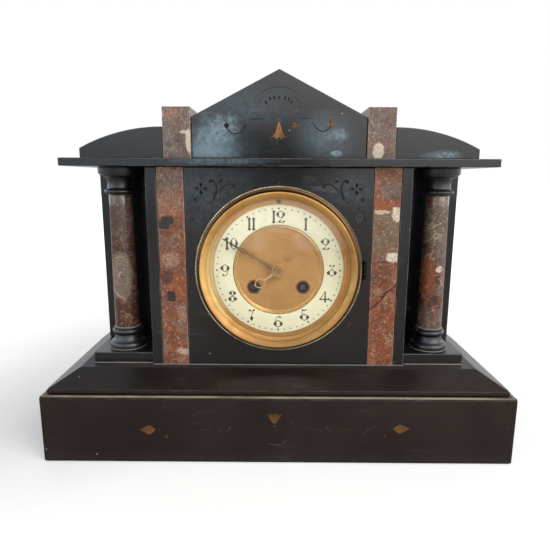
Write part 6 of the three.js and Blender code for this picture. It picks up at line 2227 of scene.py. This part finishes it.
class CLOCK_OT_gong(bpy.types.Operator):
    """Wind the gong and finish its stand"""

    bl_idname = "clock.gong"
    bl_label = "Gong"

    coil_at = (-101, 163.9)
    coil_start = 9.0
    coil_pitch = 9.0
    coil_turns = 3
    turn_steps = 60
    wire_radius = 1.5

    def execute(self, context):
        low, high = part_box("gong_coil")
        x, z = self.coil_at
        flat_points = [(self.coil_start, 3 - 0.6 * i) for i in range(4)]
        for i in range(self.coil_turns * self.turn_steps + 1):
            turn = i / self.turn_steps
            radius = self.coil_start + self.coil_pitch * turn
            flat_points.append((radius * math.cos(FULL_TURN * turn), -radius * math.sin(FULL_TURN * turn)))
        plane = (low.y + high.y) / 2
        points = [((x + across) * MM, plane, (z + up) * MM) for across, up in flat_points]
        coil = tube("gong_coil_wire", points, self.wire_radius * MM, 16)
        settle(coil, "Gong steel", "case", "steel", "gong_coil")
        stand = merged_copy("gong_stand", "gong_stand_iron")
        broken_edges(stand, 0.4, 2)
        settle(stand, "Black iron", "case", "iron", "gong_stand", degrees=ROUND_WIRE)
        return {"FINISHED"}


class CLOCK_OT_rear(bpy.types.Operator):
    """Make the ring and the dished door behind the movement"""

    bl_idname = "clock.rear"
    bl_label = "Rear door"

    ring_profile = (
        (57, 0.3), (67.6, 0.3), (68, 0.7), (68, 1.5), (67.4, 2.0),
        (66.4, 2.1), (57.5, 2.1), (57, 1.7), (57, 0.3),
    )
    pin_profile = ((0, -8.6), (0.6, -8.6), (0.8, -8.4), (0.8, 8.4), (0.6, 8.6), (0, 8.6))
    door_profile = (
        (0, 3.4), (50, 3.4), (60.6, 3.4), (61.6, 2.9), (62.4, 2.4),
        (65, 2.4), (65, 3.4), (64.6, 3.8), (62.6, 3.8),
        (61.8, 4.2), (60.8, 4.8), (58.6, 4.8), (58.2, 4.55),
        (57.8, 4.8), (30, 4.8), (29.6, 4.55), (29.2, 4.8),
        (0, 4.8),
    )
    knob_profile = (
        (0, 4.6), (1.5, 4.6), (1.3, 5.4), (1.7, 5.7), (2.5, 6.1),
        (2.6, 6.5), (2.3, 6.95), (1.4, 7.2), (0, 7.2),
    )
    knob_at = 57

    def execute(self, context):
        ring = turned("rear_ring_brass", self.ring_profile, metal().steps)
        pin = turned("rear_pin", self.pin_profile, 20)
        place(pin, moved(-HINGE_ASIDE, 0, HINGE_OUT) @ BACKWARD)
        piece = joined([ring, *knuckles(-1, OUTER_KNUCKLES, 66.5, 0.0), pin], "rear_ring_turned")
        settle(piece, "Turned brass", "case", "brass", "rear_ring", at=REAR, degrees=CRISP_TURNING)

        door = turned("rear_door_plate", self.door_profile, metal().steps)
        knob = turned("rear_knob", self.knob_profile, 36)
        place(knob, moved(self.knob_at, 0))
        piece = joined([door, knob, *knuckles(-1, MIDDLE_KNUCKLE, 63)], "rear_door_turned")
        settle(piece, "Turned brass", "rear_cover", "brass", "rear_door", at=REAR, degrees=CRISP_TURNING)
        return {"FINISHED"}


GROUPS = (
    ("clock_stone", ClockStoneSettings),
    ("clock_marble", ClockMarbleSettings),
    ("clock_metal", ClockMetalSettings),
    ("clock_stage", ClockStageSettings),
)

STEPS = (
    CLOCK_OT_stage,
    CLOCK_OT_plinth,
    CLOCK_OT_body,
    CLOCK_OT_crown,
    CLOCK_OT_marble_strips,
    CLOCK_OT_columns,
    CLOCK_OT_engraving,
    CLOCK_OT_dial,
    CLOCK_OT_bezel,
    CLOCK_OT_hands,
    CLOCK_OT_movement,
    CLOCK_OT_gong,
    CLOCK_OT_rear,
)


class CLOCK_PT_panel(bpy.types.Panel):
    """Steps of the clock, in order"""

    bl_label = "Slate mantel clock"
    bl_idname = "CLOCK_PT_panel"
    bl_space_type = "VIEW_3D"
    bl_region_type = "UI"
    bl_category = "Clock"

    def draw(self, context):
        for step in STEPS:
            self.layout.operator(step.bl_idname)
        for name, group in GROUPS:
            box = self.layout.box()
            for key in group.__annotations__:
                box.prop(getattr(context.scene, name), key)


def register():
    for name, group in GROUPS:
        bpy.utils.register_class(group)
        setattr(bpy.types.Scene, name, bpy.props.PointerProperty(type=group))
    for step in STEPS:
        bpy.utils.register_class(step)
    bpy.utils.register_class(CLOCK_PT_panel)


def unregister():
    bpy.utils.unregister_class(CLOCK_PT_panel)
    for step in reversed(STEPS):
        bpy.utils.unregister_class(step)
    for name, group in reversed(GROUPS):
        delattr(bpy.types.Scene, name)
        bpy.utils.unregister_class(group)


def main():
    register()
    build_effects()
    bpy.ops.clock.stage()
    bpy.ops.clock.plinth()
    bpy.ops.clock.body()
    bpy.ops.clock.crown()
    bpy.ops.clock.marble_strips()
    bpy.ops.clock.columns()
    bpy.ops.clock.engraving()
    bpy.ops.clock.dial()
    bpy.ops.clock.bezel()
    bpy.ops.clock.hands()
    bpy.ops.clock.movement()
    bpy.ops.clock.gong()
    bpy.ops.clock.rear()


if __name__ == "__main__":
    main()
